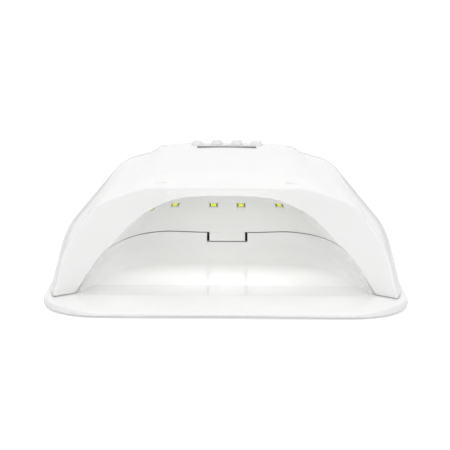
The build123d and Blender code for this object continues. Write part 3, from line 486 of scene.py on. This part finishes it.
def mesh_object(name: str, points: np.ndarray, *faces: np.ndarray) -> bpy.types.Object:
    """Make a smooth mesh object in the frame's metres.

    Args:
        name: Name of the object and its mesh.
        points: Vertices in millimetres, one row each.
        faces: Arrays of faces, with the vertex numbers of one face in each row.

    Returns:
        The new object.
    """
    mesh = bpy.data.meshes.new(name)
    mesh.from_pydata((points * MM).tolist(), [], [face for group in faces for face in group.tolist()])
    mesh.polygons.foreach_set("use_smooth", np.ones(len(mesh.polygons), dtype=bool))
    mesh.update()
    made = bpy.data.objects.new(name, mesh)
    bpy.context.scene.collection.objects.link(made)
    return made


def vertex_points(mesh: bpy.types.Mesh) -> np.ndarray:
    """Read the vertices of a mesh.

    Args:
        mesh: The mesh.

    Returns:
        Points in metres, one row each.
    """
    flat = np.zeros(len(mesh.vertices) * 3)
    mesh.vertices.foreach_get("co", flat)
    return flat.reshape(-1, 3)


def grid_faces(rows: int, columns: int, closed: bool = False) -> np.ndarray:
    """Four-sided faces of a grid of points.

    Args:
        rows: Number of rows.
        columns: Number of points in a row.
        closed: Whether each row closes on itself.

    Returns:
        Vertex numbers, one row for each face.
    """
    row = np.arange(rows - 1)[:, None]
    column = np.arange(columns if closed else columns - 1)[None, :]
    after = (column + 1) % columns
    corners = [row * columns + column, row * columns + after, (row + 1) * columns + after,
               (row + 1) * columns + column]
    return np.stack([np.broadcast_to(c, (rows - 1, column.shape[1])).ravel() for c in corners], axis=1)


def blended(first: np.ndarray, second: np.ndarray, share: float) -> np.ndarray:
    """Points between two arrays of points."""
    return first + (second - first) * share


def rounded_outline(corners: np.ndarray, radii: np.ndarray, arc_steps: int,
                    line_steps: int) -> np.ndarray:
    """Outline through corners that are rounded by arcs, always with the same number of points.

    Each corner's arc touches both its sides, and its radius gives way where a side is too short for it.
    The angle between the sides gives how far the arc reaches along them.

    Args:
        corners: Corners in the plane of the outline, both ends included.
        radii: Radius of each inner corner.
        arc_steps: Points of each arc.
        line_steps: Points of each straight run.

    Returns:
        Points of the outline, one row each.
    """
    before = corners[:-2] - corners[1:-1]
    after = corners[2:] - corners[1:-1]
    before_length = np.linalg.norm(before, axis=1)
    after_length = np.linalg.norm(after, axis=1)
    before = before / before_length[:, None]
    after = after / after_length[:, None]
    half = np.arccos(np.clip((before * after).sum(axis=1), -1, 1)) / 2
    reach = np.minimum(radii / np.tan(half), CORNER_SHARE * np.minimum(before_length, after_length))
    radius = reach * np.tan(half)
    first = corners[1:-1] + before * reach[:, None]
    last = corners[1:-1] + after * reach[:, None]
    bisector = before + after
    bisector = bisector / np.linalg.norm(bisector, axis=1)[:, None]
    centre = corners[1:-1] + bisector * (radius / np.sin(half))[:, None]
    start_angle = np.arctan2(*(first - centre).T[::-1])
    end_angle = np.arctan2(*(last - centre).T[::-1])
    swing = (end_angle - start_angle + np.pi) % (2 * np.pi) - np.pi
    angle = start_angle[:, None] + swing[:, None] * np.linspace(0, 1, arc_steps)[None, :]
    arcs = centre[:, None, :] + radius[:, None, None] * np.stack([np.cos(angle), np.sin(angle)], axis=2)
    starts = np.vstack([corners[:1], last])
    ends = np.vstack([first, corners[-1:]])
    share = np.linspace(0, 1, line_steps + 2)[1:-1]
    lines = starts[:, None, :] + (ends - starts)[:, None, :] * share[None, :, None]
    runs = [corners[:1]]
    for line, arc in zip(lines[:-1], arcs):
        runs += [line, arc]
    return np.vstack(runs + [lines[-1], corners[-1:]])


def inset_corners(corners: np.ndarray, radii: np.ndarray, inset: float) -> tuple[np.ndarray, np.ndarray]:
    """Move an outline's corners inwards by a wall, along the bisector of each corner.

    Args:
        corners: Corners, from the right foot over the top to the left foot.
        radii: Radius of each inner corner.
        inset: Distance inwards.

    Returns:
        The moved corners and their radii.
    """
    heading = np.arctan2(*np.diff(corners, axis=0).T[::-1])
    turn = (np.diff(heading) + np.pi) % (2 * np.pi) - np.pi
    half = np.concatenate([[0.0], turn / 2, [0.0]])
    along = np.concatenate([heading[:1], heading]) + half
    reach = inset / np.cos(half)
    moved = corners + np.stack([-np.sin(along) * reach, np.cos(along) * reach], axis=1)
    return moved, np.maximum(radii - np.sign(turn) * inset, LEAST_RADIUS)


def mirrored(right: np.ndarray, radii: np.ndarray) -> tuple[np.ndarray, np.ndarray]:
    """Whole outline from its right half, from the right foot to the left foot."""
    left = right[-2::-1] * np.array([-1.0, 1.0])
    return np.vstack([right, left]), np.concatenate([radii, radii[-2::-1]])


def rounded_rectangle(width: float, depth: float, radius: float, steps: int = 8) -> np.ndarray:
    """Rectangle with round corners, anticlockwise, each a quarter circle round its own centre.

    Args:
        width: Size along the first axis.
        depth: Size along the second axis.
        radius: Radius of the corners.
        steps: Points of each corner.

    Returns:
        Points, one row each.
    """
    quarter = np.linspace(0, np.pi / 2, steps)
    start = np.array([0, 1, 2, 3])[:, None] * np.pi / 2
    angle = (start + quarter[None, :]).ravel()
    centre = np.repeat(np.array([(1, 1), (-1, 1), (-1, -1), (1, -1)]), steps, axis=0)
    centre = centre * np.array([width / 2 - radius, depth / 2 - radius])
    return centre + radius * np.stack([np.cos(angle), np.sin(angle)], axis=1)


def circle(radius: float, steps: int = 64) -> np.ndarray:
    """Points of a circle, anticlockwise."""
    angle = np.linspace(0, 2 * np.pi, steps, endpoint=False)
    return radius * np.stack([np.cos(angle), np.sin(angle)], axis=1)


def stacked(name: str, rings: Sequence[Ring], places: np.ndarray) -> bpy.types.Object:
    """Closed bodies whose outline changes from ring to ring, each closed by a flat fan at both ends.

    Args:
        name: Name of the object.
        rings: Outlines with their heights, from the foot up.
        places: One 4 by 4 matrix for each body, in millimetres.

    Returns:
        One object with all the bodies.
    """
    outlines = [ring for ring, _ in rings]
    heights = [height for _, height in rings]
    outlines = [np.zeros_like(outlines[0]) + outlines[0].mean(axis=0)] + outlines
    outlines.append(np.zeros_like(outlines[-1]) + outlines[-1].mean(axis=0))
    heights = heights[:1] + heights + heights[-1:]
    count = len(outlines[0])
    flat = np.stack(outlines)
    level = np.repeat(np.array(heights)[:, None, None], count, axis=1)
    own = np.concatenate([flat, level, np.ones_like(level)], axis=2).reshape(-1, 4)
    points = np.einsum("kij,nj->kni", places, own)[:, :, :3]
    faces = grid_faces(len(outlines), count, closed=True)
    shift = np.arange(len(places))[:, None, None] * len(own)
    made = mesh_object(name, points.reshape(-1, 3), (faces[None] + shift).reshape(-1, 4))
    weld(made)
    return made


def weld(made: bpy.types.Object) -> None:
    """Join the points of a pole, drop the faces that this closes, and turn all faces outwards.

    Args:
        made: The mesh object.
    """
    shape = bmesh.new()
    shape.from_mesh(made.data)
    bmesh.ops.remove_doubles(shape, verts=shape.verts, dist=WELD_REACH)
    bmesh.ops.dissolve_degenerate(shape, edges=shape.edges, dist=SLIVER_REACH)
    bmesh.ops.recalc_face_normals(shape, faces=shape.faces)
    shape.to_mesh(made.data)
    shape.free()


def upright_places(spots: Sequence[Point]) -> np.ndarray:
    """Put unturned bodies at the given places.

    Args:
        spots: Places in millimetres.

    Returns:
        One 4 by 4 matrix for each place.
    """
    places = np.tile(np.eye(4), (len(spots), 1, 1))
    places[:, :3, 3] = np.array(spots)
    return places


def dress(made: bpy.types.Object, slot: str, body: str, *nodes: str,
          finish: Optional[str] = None) -> None:
    """Give a new piece its finish, its body and the nodes that it stands for.

    Args:
        made: The piece.
        slot: Material slot of the record.
        body: Body that it moves with.
        nodes: Nodes of the frame that it replaces.
        finish: Name of the finish, where it isn't the slot's own.
    """
    made.data.materials.append(finish_material(finish or slot))
    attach(made, body)
    if nodes:
        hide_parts(*nodes)
    LOG.info("built %s", made.name)


@dataclass(frozen=True)
class MouthBand:
    """Front edge of the head and the sloping band behind it, as one surface that rolls over both edges.

    Each column follows one point of the outlines: from the outer form just behind the front edge, over
    that edge, down the band, over the mouth's edge and back along the throat. Each bend is a quadratic
    curve. The crest, the rim and the mouth are half outlines, from the right foot to the middle.
    """

    crest: Profile = ((114.4, 7.6), (105.3, 42.2), (69.4, 84.8), (51.2, 89.7), (43.5, 94.7), (0.0, 96.2))
    crest_radii: tuple[float, ...] = (36.0, 21.5, 6.0, 6.0, 460.0)
    rim: Profile = ((108.1, 7.6), (101.8, 36.7), (82.8, 63.9), (53.3, 74.4), (38.0, 74.2), (0.0, 74.1))
    rim_radii: tuple[float, ...] = (58.0, 27.0, 58.0, 58.0, 460.0)
    mouth: Profile = ((95.2, 7.6), (81.5, 29.0), (58.6, 52.6), (44.2, 62.4), (27.8, 67.7), (0.0, 68.9))
    mouth_radii: tuple[float, ...] = (60.0, 60.0, 60.0, 60.0, 460.0)
    crest_y: float = -14.5
    rim_y: float = -66.3
    mouth_y: float = -56.0
    back_y: float = -52.0
    lean: float = 0.187
    level: float = 40.0
    plan_bulge: float = 0.9
    profile_bulge: float = 0.8
    cover_reach: float = 11.0
    overlap: float = 2.6
    proud: float = 0.03
    swell: float = 0.8
    swell_place: float = 43.5
    swell_width: float = 8.0
    rim_roll: float = 2.0
    mouth_roll: float = 1.2
    longest_step: float = 0.9
    foot_wall: float = 1.2
    arc_steps: int = 22
    line_steps: int = 16
    cover_rows: int = 12
    bend_rows: int = 9
    throat_rows: int = 5

    def outline(self, corners: np.ndarray, radii: np.ndarray, y: float, lean: float) -> np.ndarray:
        """Outline in the leaning plane at y, as points in space."""
        flat = rounded_outline(corners, radii, self.arc_steps, self.line_steps)
        return np.stack([flat[:, 0], y + lean * (flat[:, 1] - self.level), flat[:, 1]], axis=1)

    @staticmethod
    def circular_share(u: float, bulge: float) -> float:
        """Share of the way along a circular curve: its fall at u over its whole fall."""
        return (1 - math.sqrt(1 - (u * bulge) ** 2)) / (1 - math.sqrt(1 - bulge ** 2))

    def front(self, u: float, inset: float) -> np.ndarray:
        """Section of the outer form between the crest, where u is 0, and the front edge, where u is 1.

        The corners move from one outline to the other along a circular curve.

        Args:
            u: Share of the way to the front edge.
            inset: Distance of the section inside the form.

        Returns:
            Points in space, one row each.
        """
        crest, crest_radii = mirrored(np.array(self.crest), np.array(self.crest_radii))
        rim, rim_radii = mirrored(np.array(self.rim), np.array(self.rim_radii))
        bulges = (self.plan_bulge, self.profile_bulge)
        corners = crest + (rim - crest) * np.array([self.circular_share(u, bulge) for bulge in bulges])
        moved, radii = inset_corners(corners, blended(crest_radii, rim_radii, u), inset)
        y = self.crest_y + (self.rim_y - self.crest_y) * u
        return self.outline(moved, radii, y, self.lean * u)

    def mouth_edge(self, y: float) -> np.ndarray:
        """Edge of the mouth in the leaning plane at y."""
        return self.outline(*mirrored(np.array(self.mouth), np.array(self.mouth_radii)), y, self.lean)

    def over_cover(self, reach: float) -> np.ndarray:
        """Row that lies on the cover, reach behind the front edge.

        It is raised over the two turns of the outline, along the cover like half a sine wave and across it
        like a bell with a flat top.

        Args:
            reach: Distance behind the front edge.

        Returns:
            Points in space, one row each.
        """
        row = self.front(1 - reach / (self.crest_y - self.rim_y), -self.proud)
        aside = (np.abs(row[:, 0]) - self.swell_place) / self.swell_width
        row[:, 2] += self.swell * np.exp(-aside ** 4) * math.sin(math.pi * (1 - reach / self.cover_reach))
        return row

    def rows(self) -> np.ndarray:
        """Work out the surface, from the outer form to the back of the throat.

        Returns:
            Points in space, row by row.
        """
        reaches = np.linspace(self.cover_reach, self.overlap, self.cover_rows)
        rows = [self.over_cover(reach) for reach in reaches]
        runs = [rows[-1], self.front(1.0, 0.0), self.mouth_edge(self.mouth_y), self.mouth_edge(self.back_y)]
        shares = np.linspace(0, 1, self.bend_rows)
        for before, corner, after, roll in zip(runs, runs[1:], runs[2:], (self.rim_roll, self.mouth_roll)):
            first, last = (corner + self.towards(corner, other, roll) for other in (before, after))
            start = rows[-1]
            rows += [blended(start, first, t) for t in shares[1:-1]]
            rows += [blended(blended(first, corner, t), blended(corner, last, t), t) for t in shares]
        start = rows[-1]
        rows += [blended(start, runs[-1], t) for t in np.linspace(0, 1, self.throat_rows)[1:]]
        return np.stack(rows)

    def towards(self, corner: np.ndarray, other: np.ndarray, reach: float) -> np.ndarray:
        """Step from a corner towards another row, no longer than a share of the way.

        Args:
            corner: Row of points where the surface bends.
            other: The row before or after it.
            reach: Length of the step.

        Returns:
            The steps, one row each.
        """
        step = other - corner
        length = np.linalg.norm(step, axis=1)[:, None]
        return step / length * np.minimum(reach, self.longest_step * length)

    def build(self) -> None:
        """Build the band, with each of its two feet closed by a fan round a hub."""
        rows = self.rows()
        count = rows.shape[1]
        points = [rows.reshape(-1, 3)]
        feet = []
        back = 1 - (self.back_y - self.rim_y) / (self.crest_y - self.rim_y)
        behind = self.front(back, self.foot_wall)
        for column in (0, count - 1):
            edge = rows[:, column]
            hub = sum(len(group) for group in points)
            points.append(np.vstack([blended(edge[0], edge[-1], 0.5), behind[column]]))
            line = np.arange(len(rows)) * count + column
            feet.append(np.stack([np.full(len(line) - 1, hub), line[:-1], line[1:]], axis=1))
            feet.append(np.array([[hub, line[-1], hub + 1, line[0]]]))
        made = mesh_object("mouth_band", np.vstack(points), grid_faces(len(rows), count), *feet)
        weld(made)
        dress(made, "white_shell", "lamp_head", "mouth_bezel")


@dataclass(frozen=True)
class CoverShell:
    """Outer cover, with the ripple that its form has on both side edges of the deck brought down.

    A deck edge is where two flanks meet: the deck itself and the slope beside it. Each flank is a surface
    that is straight across and cubic along the lamp, fitted to the cover's own points beside the ripple.
    The bands are distances from the middle plane, and slope_line is a point of the slope: its height and
    its distance from that plane.
    """

    deck_band: Pair = (33.0, 41.0)
    slope_band: Pair = (46.6, 50.5)
    edge_band: Pair = (40.8, 47.2)
    along: Pair = (-13.5, 7.0)
    slope_line: Pair = (91.2, 48.0)
    slope_fall: float = 0.68
    deck_low: float = 93.3
    wall_half: float = 1.2
    sharp_angle: float = 28.0

    @staticmethod
    def between(values: np.ndarray, band: Pair) -> np.ndarray:
        """Tell which values lie in a band."""
        return (values > band[0]) & (values < band[1])

    @staticmethod
    def terms(aside: np.ndarray, y: np.ndarray) -> np.ndarray:
        """Terms of a flank's height, one row for each point."""
        return np.stack([np.ones_like(y), aside, y, y ** 2, y ** 3, aside * y], axis=1)

    def evened(self, points: np.ndarray) -> np.ndarray:
        """Lower each point of a deck edge that stands above one of its two flanks.

        Args:
            points: Points of the cover, one row each.

        Returns:
            The points after the change.
        """
        aside, y, z = np.abs(points[:, 0]), points[:, 1], points[:, 2]
        near = self.between(y, self.along)
        slope = self.slope_line[0] - self.slope_fall * (aside - self.slope_line[1])
        flanks = (near & self.between(aside, self.deck_band) & (z > self.deck_low),
                  near & self.between(aside, self.slope_band) & (z > slope - self.wall_half))
        edge = near & self.between(aside, self.edge_band)
        levels = []
        for flank in flanks:
            LOG.info("flank of the deck edge fitted to %d points", flank.sum())
            share, *_ = np.linalg.lstsq(self.terms(aside[flank], y[flank]), z[flank], rcond=None)
            levels.append(self.terms(aside[edge], y[edge]) @ share)
        lowered = points.copy()
        lowered[edge, 2] = np.minimum(z[edge], np.minimum(*levels))
        return lowered

    def build(self, frame: dict) -> None:
        """Build the cover from the frame's own.

        Args:
            frame: The loaded frame.
        """
        mesh = frame["nodes"]["outer_cover"].data
        corners = np.zeros(len(mesh.loops), dtype=int)
        mesh.loops.foreach_get("vertex_index", corners)
        made = mesh_object("cover_shell", self.evened(vertex_points(mesh) / MM), corners.reshape(-1, 3))
        weld(made)
        made.data.set_sharp_from_angle(angle=math.radians(self.sharp_angle))
        made.modifiers.new("even shading", "WEIGHTED_NORMAL").keep_sharp = True
        dress(made, "white_shell", "lamp_head", "outer_cover")


@dataclass(frozen=True)
class LedRings:
    """LEDs in their packages: a body with a contact at each end, and a domed window of phosphor."""

    groups: tuple[tuple[str, int], ...] = (("leds_rear", 6), ("leds_sides", 4), ("leds_top", 6))
    hand: Point = (0.0, 0.0, 15.0)
    body_round: float = 0.25
    front_trim: float = 0.5
    window_width: float = 4.0
    window_depth: float = 3.1
    window_round: float = 0.55
    window_height: float = 0.35
    window_sunk: float = 0.1
    window_shrink: float = 0.9
    dome_steps: int = 7
    contact_width: float = 0.5
    contact_trim: float = 0.7
    contact_round: float = 0.12
    contact_sunk: float = 0.2
    contact_proud: float = 0.12

    def places(self, node: str, frame: dict, count: int) -> tuple[np.ndarray, np.ndarray]:
        """Find each package of a node: its middle, its axes and its size.

        The packages' own corners give their axes, longest first, and each looks at the hand.

        Args:
            node: Name of the node.
            frame: The loaded frame.
            count: Number of packages in the node.

        Returns:
            A 4 by 4 matrix for the front face of each package, and the packages' size.
        """
        bodies = vertex_points(frame["nodes"][node].data).reshape(count, -1, 3) / MM
        middle = bodies.mean(axis=1)
        spread = bodies - middle[:, None]
        _, _, axes = np.linalg.svd(spread, full_matrices=False)
        size = np.ptp(np.einsum("knj,kij->kni", spread, axes), axis=1)
        hand = np.array(self.hand) - middle
        facing = axes[:, 2] * np.sign((axes[:, 2] * hand).sum(axis=1))[:, None]
        up = axes[:, 1] * np.where(axes[:, 1, 2] < 0, -1, 1)[:, None]
        across = np.cross(up, facing)
        places = np.tile(np.eye(4), (count, 1, 1))
        places[:, :3, 0], places[:, :3, 1], places[:, :3, 2] = across, up, facing
        places[:, :3, 3] = middle + facing * size[:, 2:] / 2
        return places, size[0]

    def build(self, frame: dict) -> None:
        """Build the three groups of LEDs.

        Args:
            frame: The loaded frame.
        """
        for node, count in self.groups:
            places, (width, depth, thickness) = self.places(node, frame, count)
            inner = rounded_rectangle(width - self.front_trim, depth - self.front_trim, self.body_round)
            outer = rounded_rectangle(width, depth, self.body_round)
            rings = [(outer, -thickness), (outer, -self.body_round), (inner, 0.0)]
            dress(stacked(node + "_bodies", rings, places), "led_amber", "lamp_head", node)
            window = stacked(node + "_phosphor", self.window_rings(), places)
            dress(window, "led_amber", "lamp_head", finish="phosphor")
            outline = rounded_rectangle(self.contact_width, depth - self.contact_trim, self.contact_round)
            rings = [(outline, -self.contact_sunk), (outline, self.contact_proud)]
            for name, side in (("left", -1), ("right", 1)):
                shift = np.eye(4)
                shift[0, 3] = side * (width - self.contact_width) / 2
                contact = stacked(f"{node}_contacts_{name}", rings, places @ shift)
                dress(contact, "led_amber", "lamp_head", finish="contact_metal")

    def window_rings(self) -> list[Ring]:
        """Work out the domed window, which falls like a quarter circle towards its edge.

        Returns:
            Outlines with their heights.
        """
        outline = rounded_rectangle(self.window_width, self.window_depth, self.window_round)
        rings = []
        for angle in np.linspace(0, np.pi / 2, self.dome_steps)[:-1]:
            shrink = 1 - self.window_shrink * (1 - math.cos(angle))
            rings.append((outline * shrink, -self.window_sunk + self.window_height * math.sin(angle)))
        return rings


@dataclass(frozen=True)
class DeckParts:
    """Window and push buttons of the deck, with their rounded edges.

    The window's profile gives how far each ring lies inside the plate's outline, and its height. The rings
    of a button's dish are given by their radius and their share of its depth.
    """

    crown_radius: float = 460.0
    window_flange: float = 1.4
    window_round: float = 1.0
    window_least_round: float = 0.3
    window_profile: Profile = ((0.0, -3.0), (0.0, -0.45), (0.05, -0.26), (0.17, -0.1), (0.45, 0.0),
                               (1.5, 0.02), (3.0, 0.03))
    button_radius: float = 3.9
    button_foot: float = 4.6
    button_taper: float = 2.1
    button_top: float = 3.05
    button_round: float = 0.35
    round_steps: int = 7
    button_dish: float = 0.12
    dish_rings: Profile = ((1.6, 0.7), (0.6, 1.0))

    def window(self) -> None:
        """Tinted plate whose top follows the deck's crown."""
        low, high = (np.array(corner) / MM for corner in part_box("display_window"))
        middle = (low + high) / 2
        width, depth = (high - low)[:2] - 2 * self.window_flange
        rings = []
        for inset, height in self.window_profile:
            radius = max(self.window_round - inset, self.window_least_round)
            rings.append((rounded_rectangle(width - 2 * inset, depth - 2 * inset, radius), height))
        made = stacked("window_plate", rings, upright_places([(middle[0], middle[1], high[2])]))
        self.follow_crown(made)
        dress(made, "window_tint", "lamp_head", "display_window")

    def follow_crown(self, made: bpy.types.Object) -> None:
        """Lower each point by the fall of the deck's crown, which is an arc across the lamp.

        Args:
            made: The object with its top at the height of the middle line.
        """
        mesh = made.data
        points = vertex_points(mesh)
        radius = self.crown_radius * MM
        points[:, 2] -= radius - np.sqrt(radius ** 2 - points[:, 0] ** 2)
        mesh.vertices.foreach_set("co", points.ravel())
        mesh.update()

    def button(self, name: str) -> None:
        """Cap that tapers to a dished top with a round edge.

        Args:
            name: Time that the button sets, as its node's name has it.
        """
        low, high = (np.array(corner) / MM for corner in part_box("button_" + name))
        middle = (low + high) / 2
        rings = [(circle(self.button_radius), -depth) for depth in (self.button_foot, self.button_taper)]
        for angle in np.linspace(0, np.pi / 2, self.round_steps):
            radius = self.button_top - self.button_round * (1 - math.cos(angle))
            rings.append((circle(radius), -self.button_round * (1 - math.sin(angle))))
        rings += [(circle(radius), -share * self.button_dish) for radius, share in self.dish_rings]
        made = stacked("cap_" + name, rings, upright_places([(middle[0], middle[1], high[2])]))
        dress(made, "button_white", "push_" + name, "button_" + name)

    def build(self) -> None:
        """Build the window and the four caps."""
        self.window()
        for name in ("10s", "30s", "60s", "99s"):
            self.button(name)


@dataclass(frozen=True)
class RubberFeet:
    """Feet with a round edge and grooves in the face that stands on the table.

    The grooves are given by radii, each with its share of the grooves' depth.
    """

    radius: float = 5.0
    edge: float = 0.5
    edge_steps: int = 5
    groove_depth: float = 0.25
    grooves: Profile = ((0.6, 1.0), (1.2, 1.0), (1.4, 0.0), (2.1, 0.0), (2.3, 1.0), (2.8, 1.0), (3.0, 0.0))
    spots: Profile = ((-92.0, -76.0), (92.0, -76.0), (-82.0, 50.0), (82.0, 50.0))

    def build(self) -> None:
        """Build the four feet."""
        _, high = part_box("tray_feet")
        rings = [(circle(radius), share * self.groove_depth) for radius, share in self.grooves]
        for angle in np.linspace(0, np.pi / 2, self.edge_steps):
            radius = self.radius - self.edge * (1 - math.sin(angle))
            rings.append((circle(radius), self.edge * (1 - math.cos(angle))))
        rings.append((circle(self.radius), high[2] / MM))
        made = stacked("grooved_feet", rings, upright_places([(x, y, 0.0) for x, y in self.spots]))
        dress(made, "foot_rubber", "tray", "tray_feet")


@dataclass(frozen=True)
class SoftLight:
    """Rectangular light that isn't seen itself, measured in metres and watts."""

    name: str
    place: Point
    aim: Point
    size: Pair
    power: float

    def build(self) -> None:
        """Hang the light."""
        data = bpy.data.lights.new(self.name, "AREA")
        data.shape = "RECTANGLE"
        data.size, data.size_y = self.size
        data.energy = self.power
        light = bpy.data.objects.new(self.name, data)
        light.location = self.place
        light.rotation_euler = (Vector(self.aim) - Vector(self.place)).to_track_quat("-Z", "Y").to_euler()
        light.visible_camera = False
        light.visible_glossy = False
        bpy.context.scene.collection.objects.link(light)


@dataclass(frozen=True)
class Studio:
    """Floor, soft light and the camera at the photograph's angle."""

    elevation: float = 10.5
    heading: float = 0.4
    roll: float = 0.27
    distance: float = 0.975
    focal_pixels: float = 1449.0
    centre_pixel: Pair = (226.6, 225.0)
    sky_strength: float = 0.5
    floor_side: float = 12.0
    floor_tints: tuple[Colour, Colour] = ((0.93, 0.93, 0.93), (0.95, 0.95, 0.95))
    floor_cloud_scale: float = 3.0
    floor_cloud_places: Pair = (0.3, 0.7)
    floor_roughness: float = 0.7
    floor_lift: float = 0.5
    lights: tuple[SoftLight, ...] = (
        SoftLight("overhead", (0.0, -0.15, 1.3), TARGET, (1.1, 1.1), 7.5),
        SoftLight("front", (0.0, -1.6, 0.45), TARGET, (1.6, 1.6), 8.0),
        SoftLight("fill", (0.0, -0.01, 0.045), (0.0, -0.009, 0.0), (0.15, 0.05), 0.031),
    )

    def camera(self) -> None:
        """Place the camera on its sphere round the target and give it the photograph's field of view."""
        rise, turn = math.radians(self.elevation), math.radians(self.heading)
        offset = Vector((math.sin(turn) * math.cos(rise), -math.cos(turn) * math.cos(rise), math.sin(rise)))
        data = bpy.data.cameras.new("camera")
        data.sensor_width = SENSOR_WIDTH
        data.lens = self.focal_pixels / IMAGE_SIDE * SENSOR_WIDTH
        middle = IMAGE_SIDE / 2
        data.shift_x = (middle - self.centre_pixel[0]) / IMAGE_SIDE
        data.shift_y = (self.centre_pixel[1] - middle) / IMAGE_SIDE
        camera = bpy.data.objects.new("camera", data)
        camera.location = Vector(TARGET) + offset * self.distance
        camera.rotation_euler = (-offset).to_track_quat("-Z", "Y").to_euler()
        camera.rotation_euler.rotate_axis("Z", math.radians(self.roll))
        bpy.context.scene.collection.objects.link(camera)
        bpy.context.scene.camera = camera

    @staticmethod
    def seen_rays(tree: bpy.types.NodeTree) -> Socket:
        """Tell the rays of the camera, of gloss and through glass from the others.

        Args:
            tree: Node tree of the world.

        Returns:
            Socket that is 1 for such a ray, and 0 otherwise.
        """
        path = tree.nodes.new("ShaderNodeLightPath")
        names = ("Is Camera Ray", "Is Glossy Ray", "Is Transmission Ray")
        total, *others = (path.outputs[name] for name in names)
        for other in others:
            larger = tree.nodes.new("ShaderNodeMath")
            larger.operation = "MAXIMUM"
            tree.links.new(total, larger.inputs[0])
            tree.links.new(other, larger.inputs[1])
            total = larger.outputs[0]
        return total

    def sky(self) -> None:
        """Even white surround, which lights softly and is seen as plain white."""
        world = bpy.data.worlds.new("studio")
        world.use_nodes = True
        tree = world.node_tree
        background = tree.nodes["Background"]
        seen = self.seen_rays(tree)
        level = tree.nodes.new("ShaderNodeMapRange")
        level.inputs["To Min"].default_value = self.sky_strength
        level.inputs["To Max"].default_value = 1.0
        tree.links.new(seen, level.inputs["Value"])
        tree.links.new(level.outputs["Result"], background.inputs["Strength"])
        background.inputs["Color"].default_value = (1, 1, 1, 1)
        bpy.context.scene.world = world

    def floor(self) -> None:
        """White table top that keeps the lamp's shadow, lifted towards white for the camera alone."""
        half = self.floor_side / 2
        corners = [(-half, -half, 0), (half, -half, 0), (half, half, 0), (-half, half, 0)]
        mesh = bpy.data.meshes.new("floor")
        mesh.from_pydata(corners, [], [(0, 1, 2, 3)])
        floor = bpy.data.objects.new("floor", mesh)
        bpy.context.scene.collection.objects.link(floor)
        graph = ShaderGraph("table top")
        cloud = graph.noise(self.floor_cloud_scale)
        graph.feed(graph.ramp(cloud, self.floor_cloud_places, *self.floor_tints), "Base Color")
        graph.set("Roughness", self.floor_roughness)
        graph.set("Emission Color", (1, 1, 1, 1))
        path = graph.node("ShaderNodeLightPath")
        lift = graph.span(path.outputs["Is Camera Ray"], 0.0, self.floor_lift)
        graph.feed(lift, "Emission Strength")
        self.clear_from_below(graph)
        mesh.materials.append(graph.material)

    @staticmethod
    def clear_from_below(graph: ShaderGraph) -> None:
        """Let the table top be looked through from below, so that the underside can be seen.

        Args:
            graph: Material of the table top.
        """
        clear = graph.node("ShaderNodeBsdfTransparent")
        mix = graph.node("ShaderNodeMixShader")
        side = graph.node("ShaderNodeNewGeometry")
        links = graph.tree.links
        links.new(side.outputs["Backfacing"], mix.inputs["Fac"])
        links.new(graph.shader.outputs["BSDF"], mix.inputs[1])
        links.new(clear.outputs["BSDF"], mix.inputs[2])
        links.new(mix.outputs["Shader"], graph.tree.nodes["Material Output"].inputs["Surface"])

    def build(self) -> None:
        """Set up everything round the lamp."""
        bpy.context.scene.view_settings.view_transform = "Standard"
        self.sky()
        self.floor()
        for light in self.lights:
            light.build()
        self.camera()


def dress_frame(frame: dict) -> None:
    """Give every carried-over node the finish of its slot.

    Args:
        frame: The loaded frame.
    """
    for part in frame["record"]["subparts"]:
        node = frame["nodes"][part["node"]]
        node.data.materials.clear()
        node.data.materials.append(finish_material(part["material_slot"]))
        LOG.info("dressed %s", part["node"])


def main() -> None:
    """Load the frame, build each sub-assembly in order and report it."""
    logging.basicConfig(level=logging.INFO, format="%(name)s %(message)s")
    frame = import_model()
    Studio().build()
    dress_frame(frame)
    CoverShell().build(frame)
    MouthBand().build()
    LedRings().build(frame)
    DeckParts().build()
    RubberFeet().build()


if __name__ == "__main__":
    main()
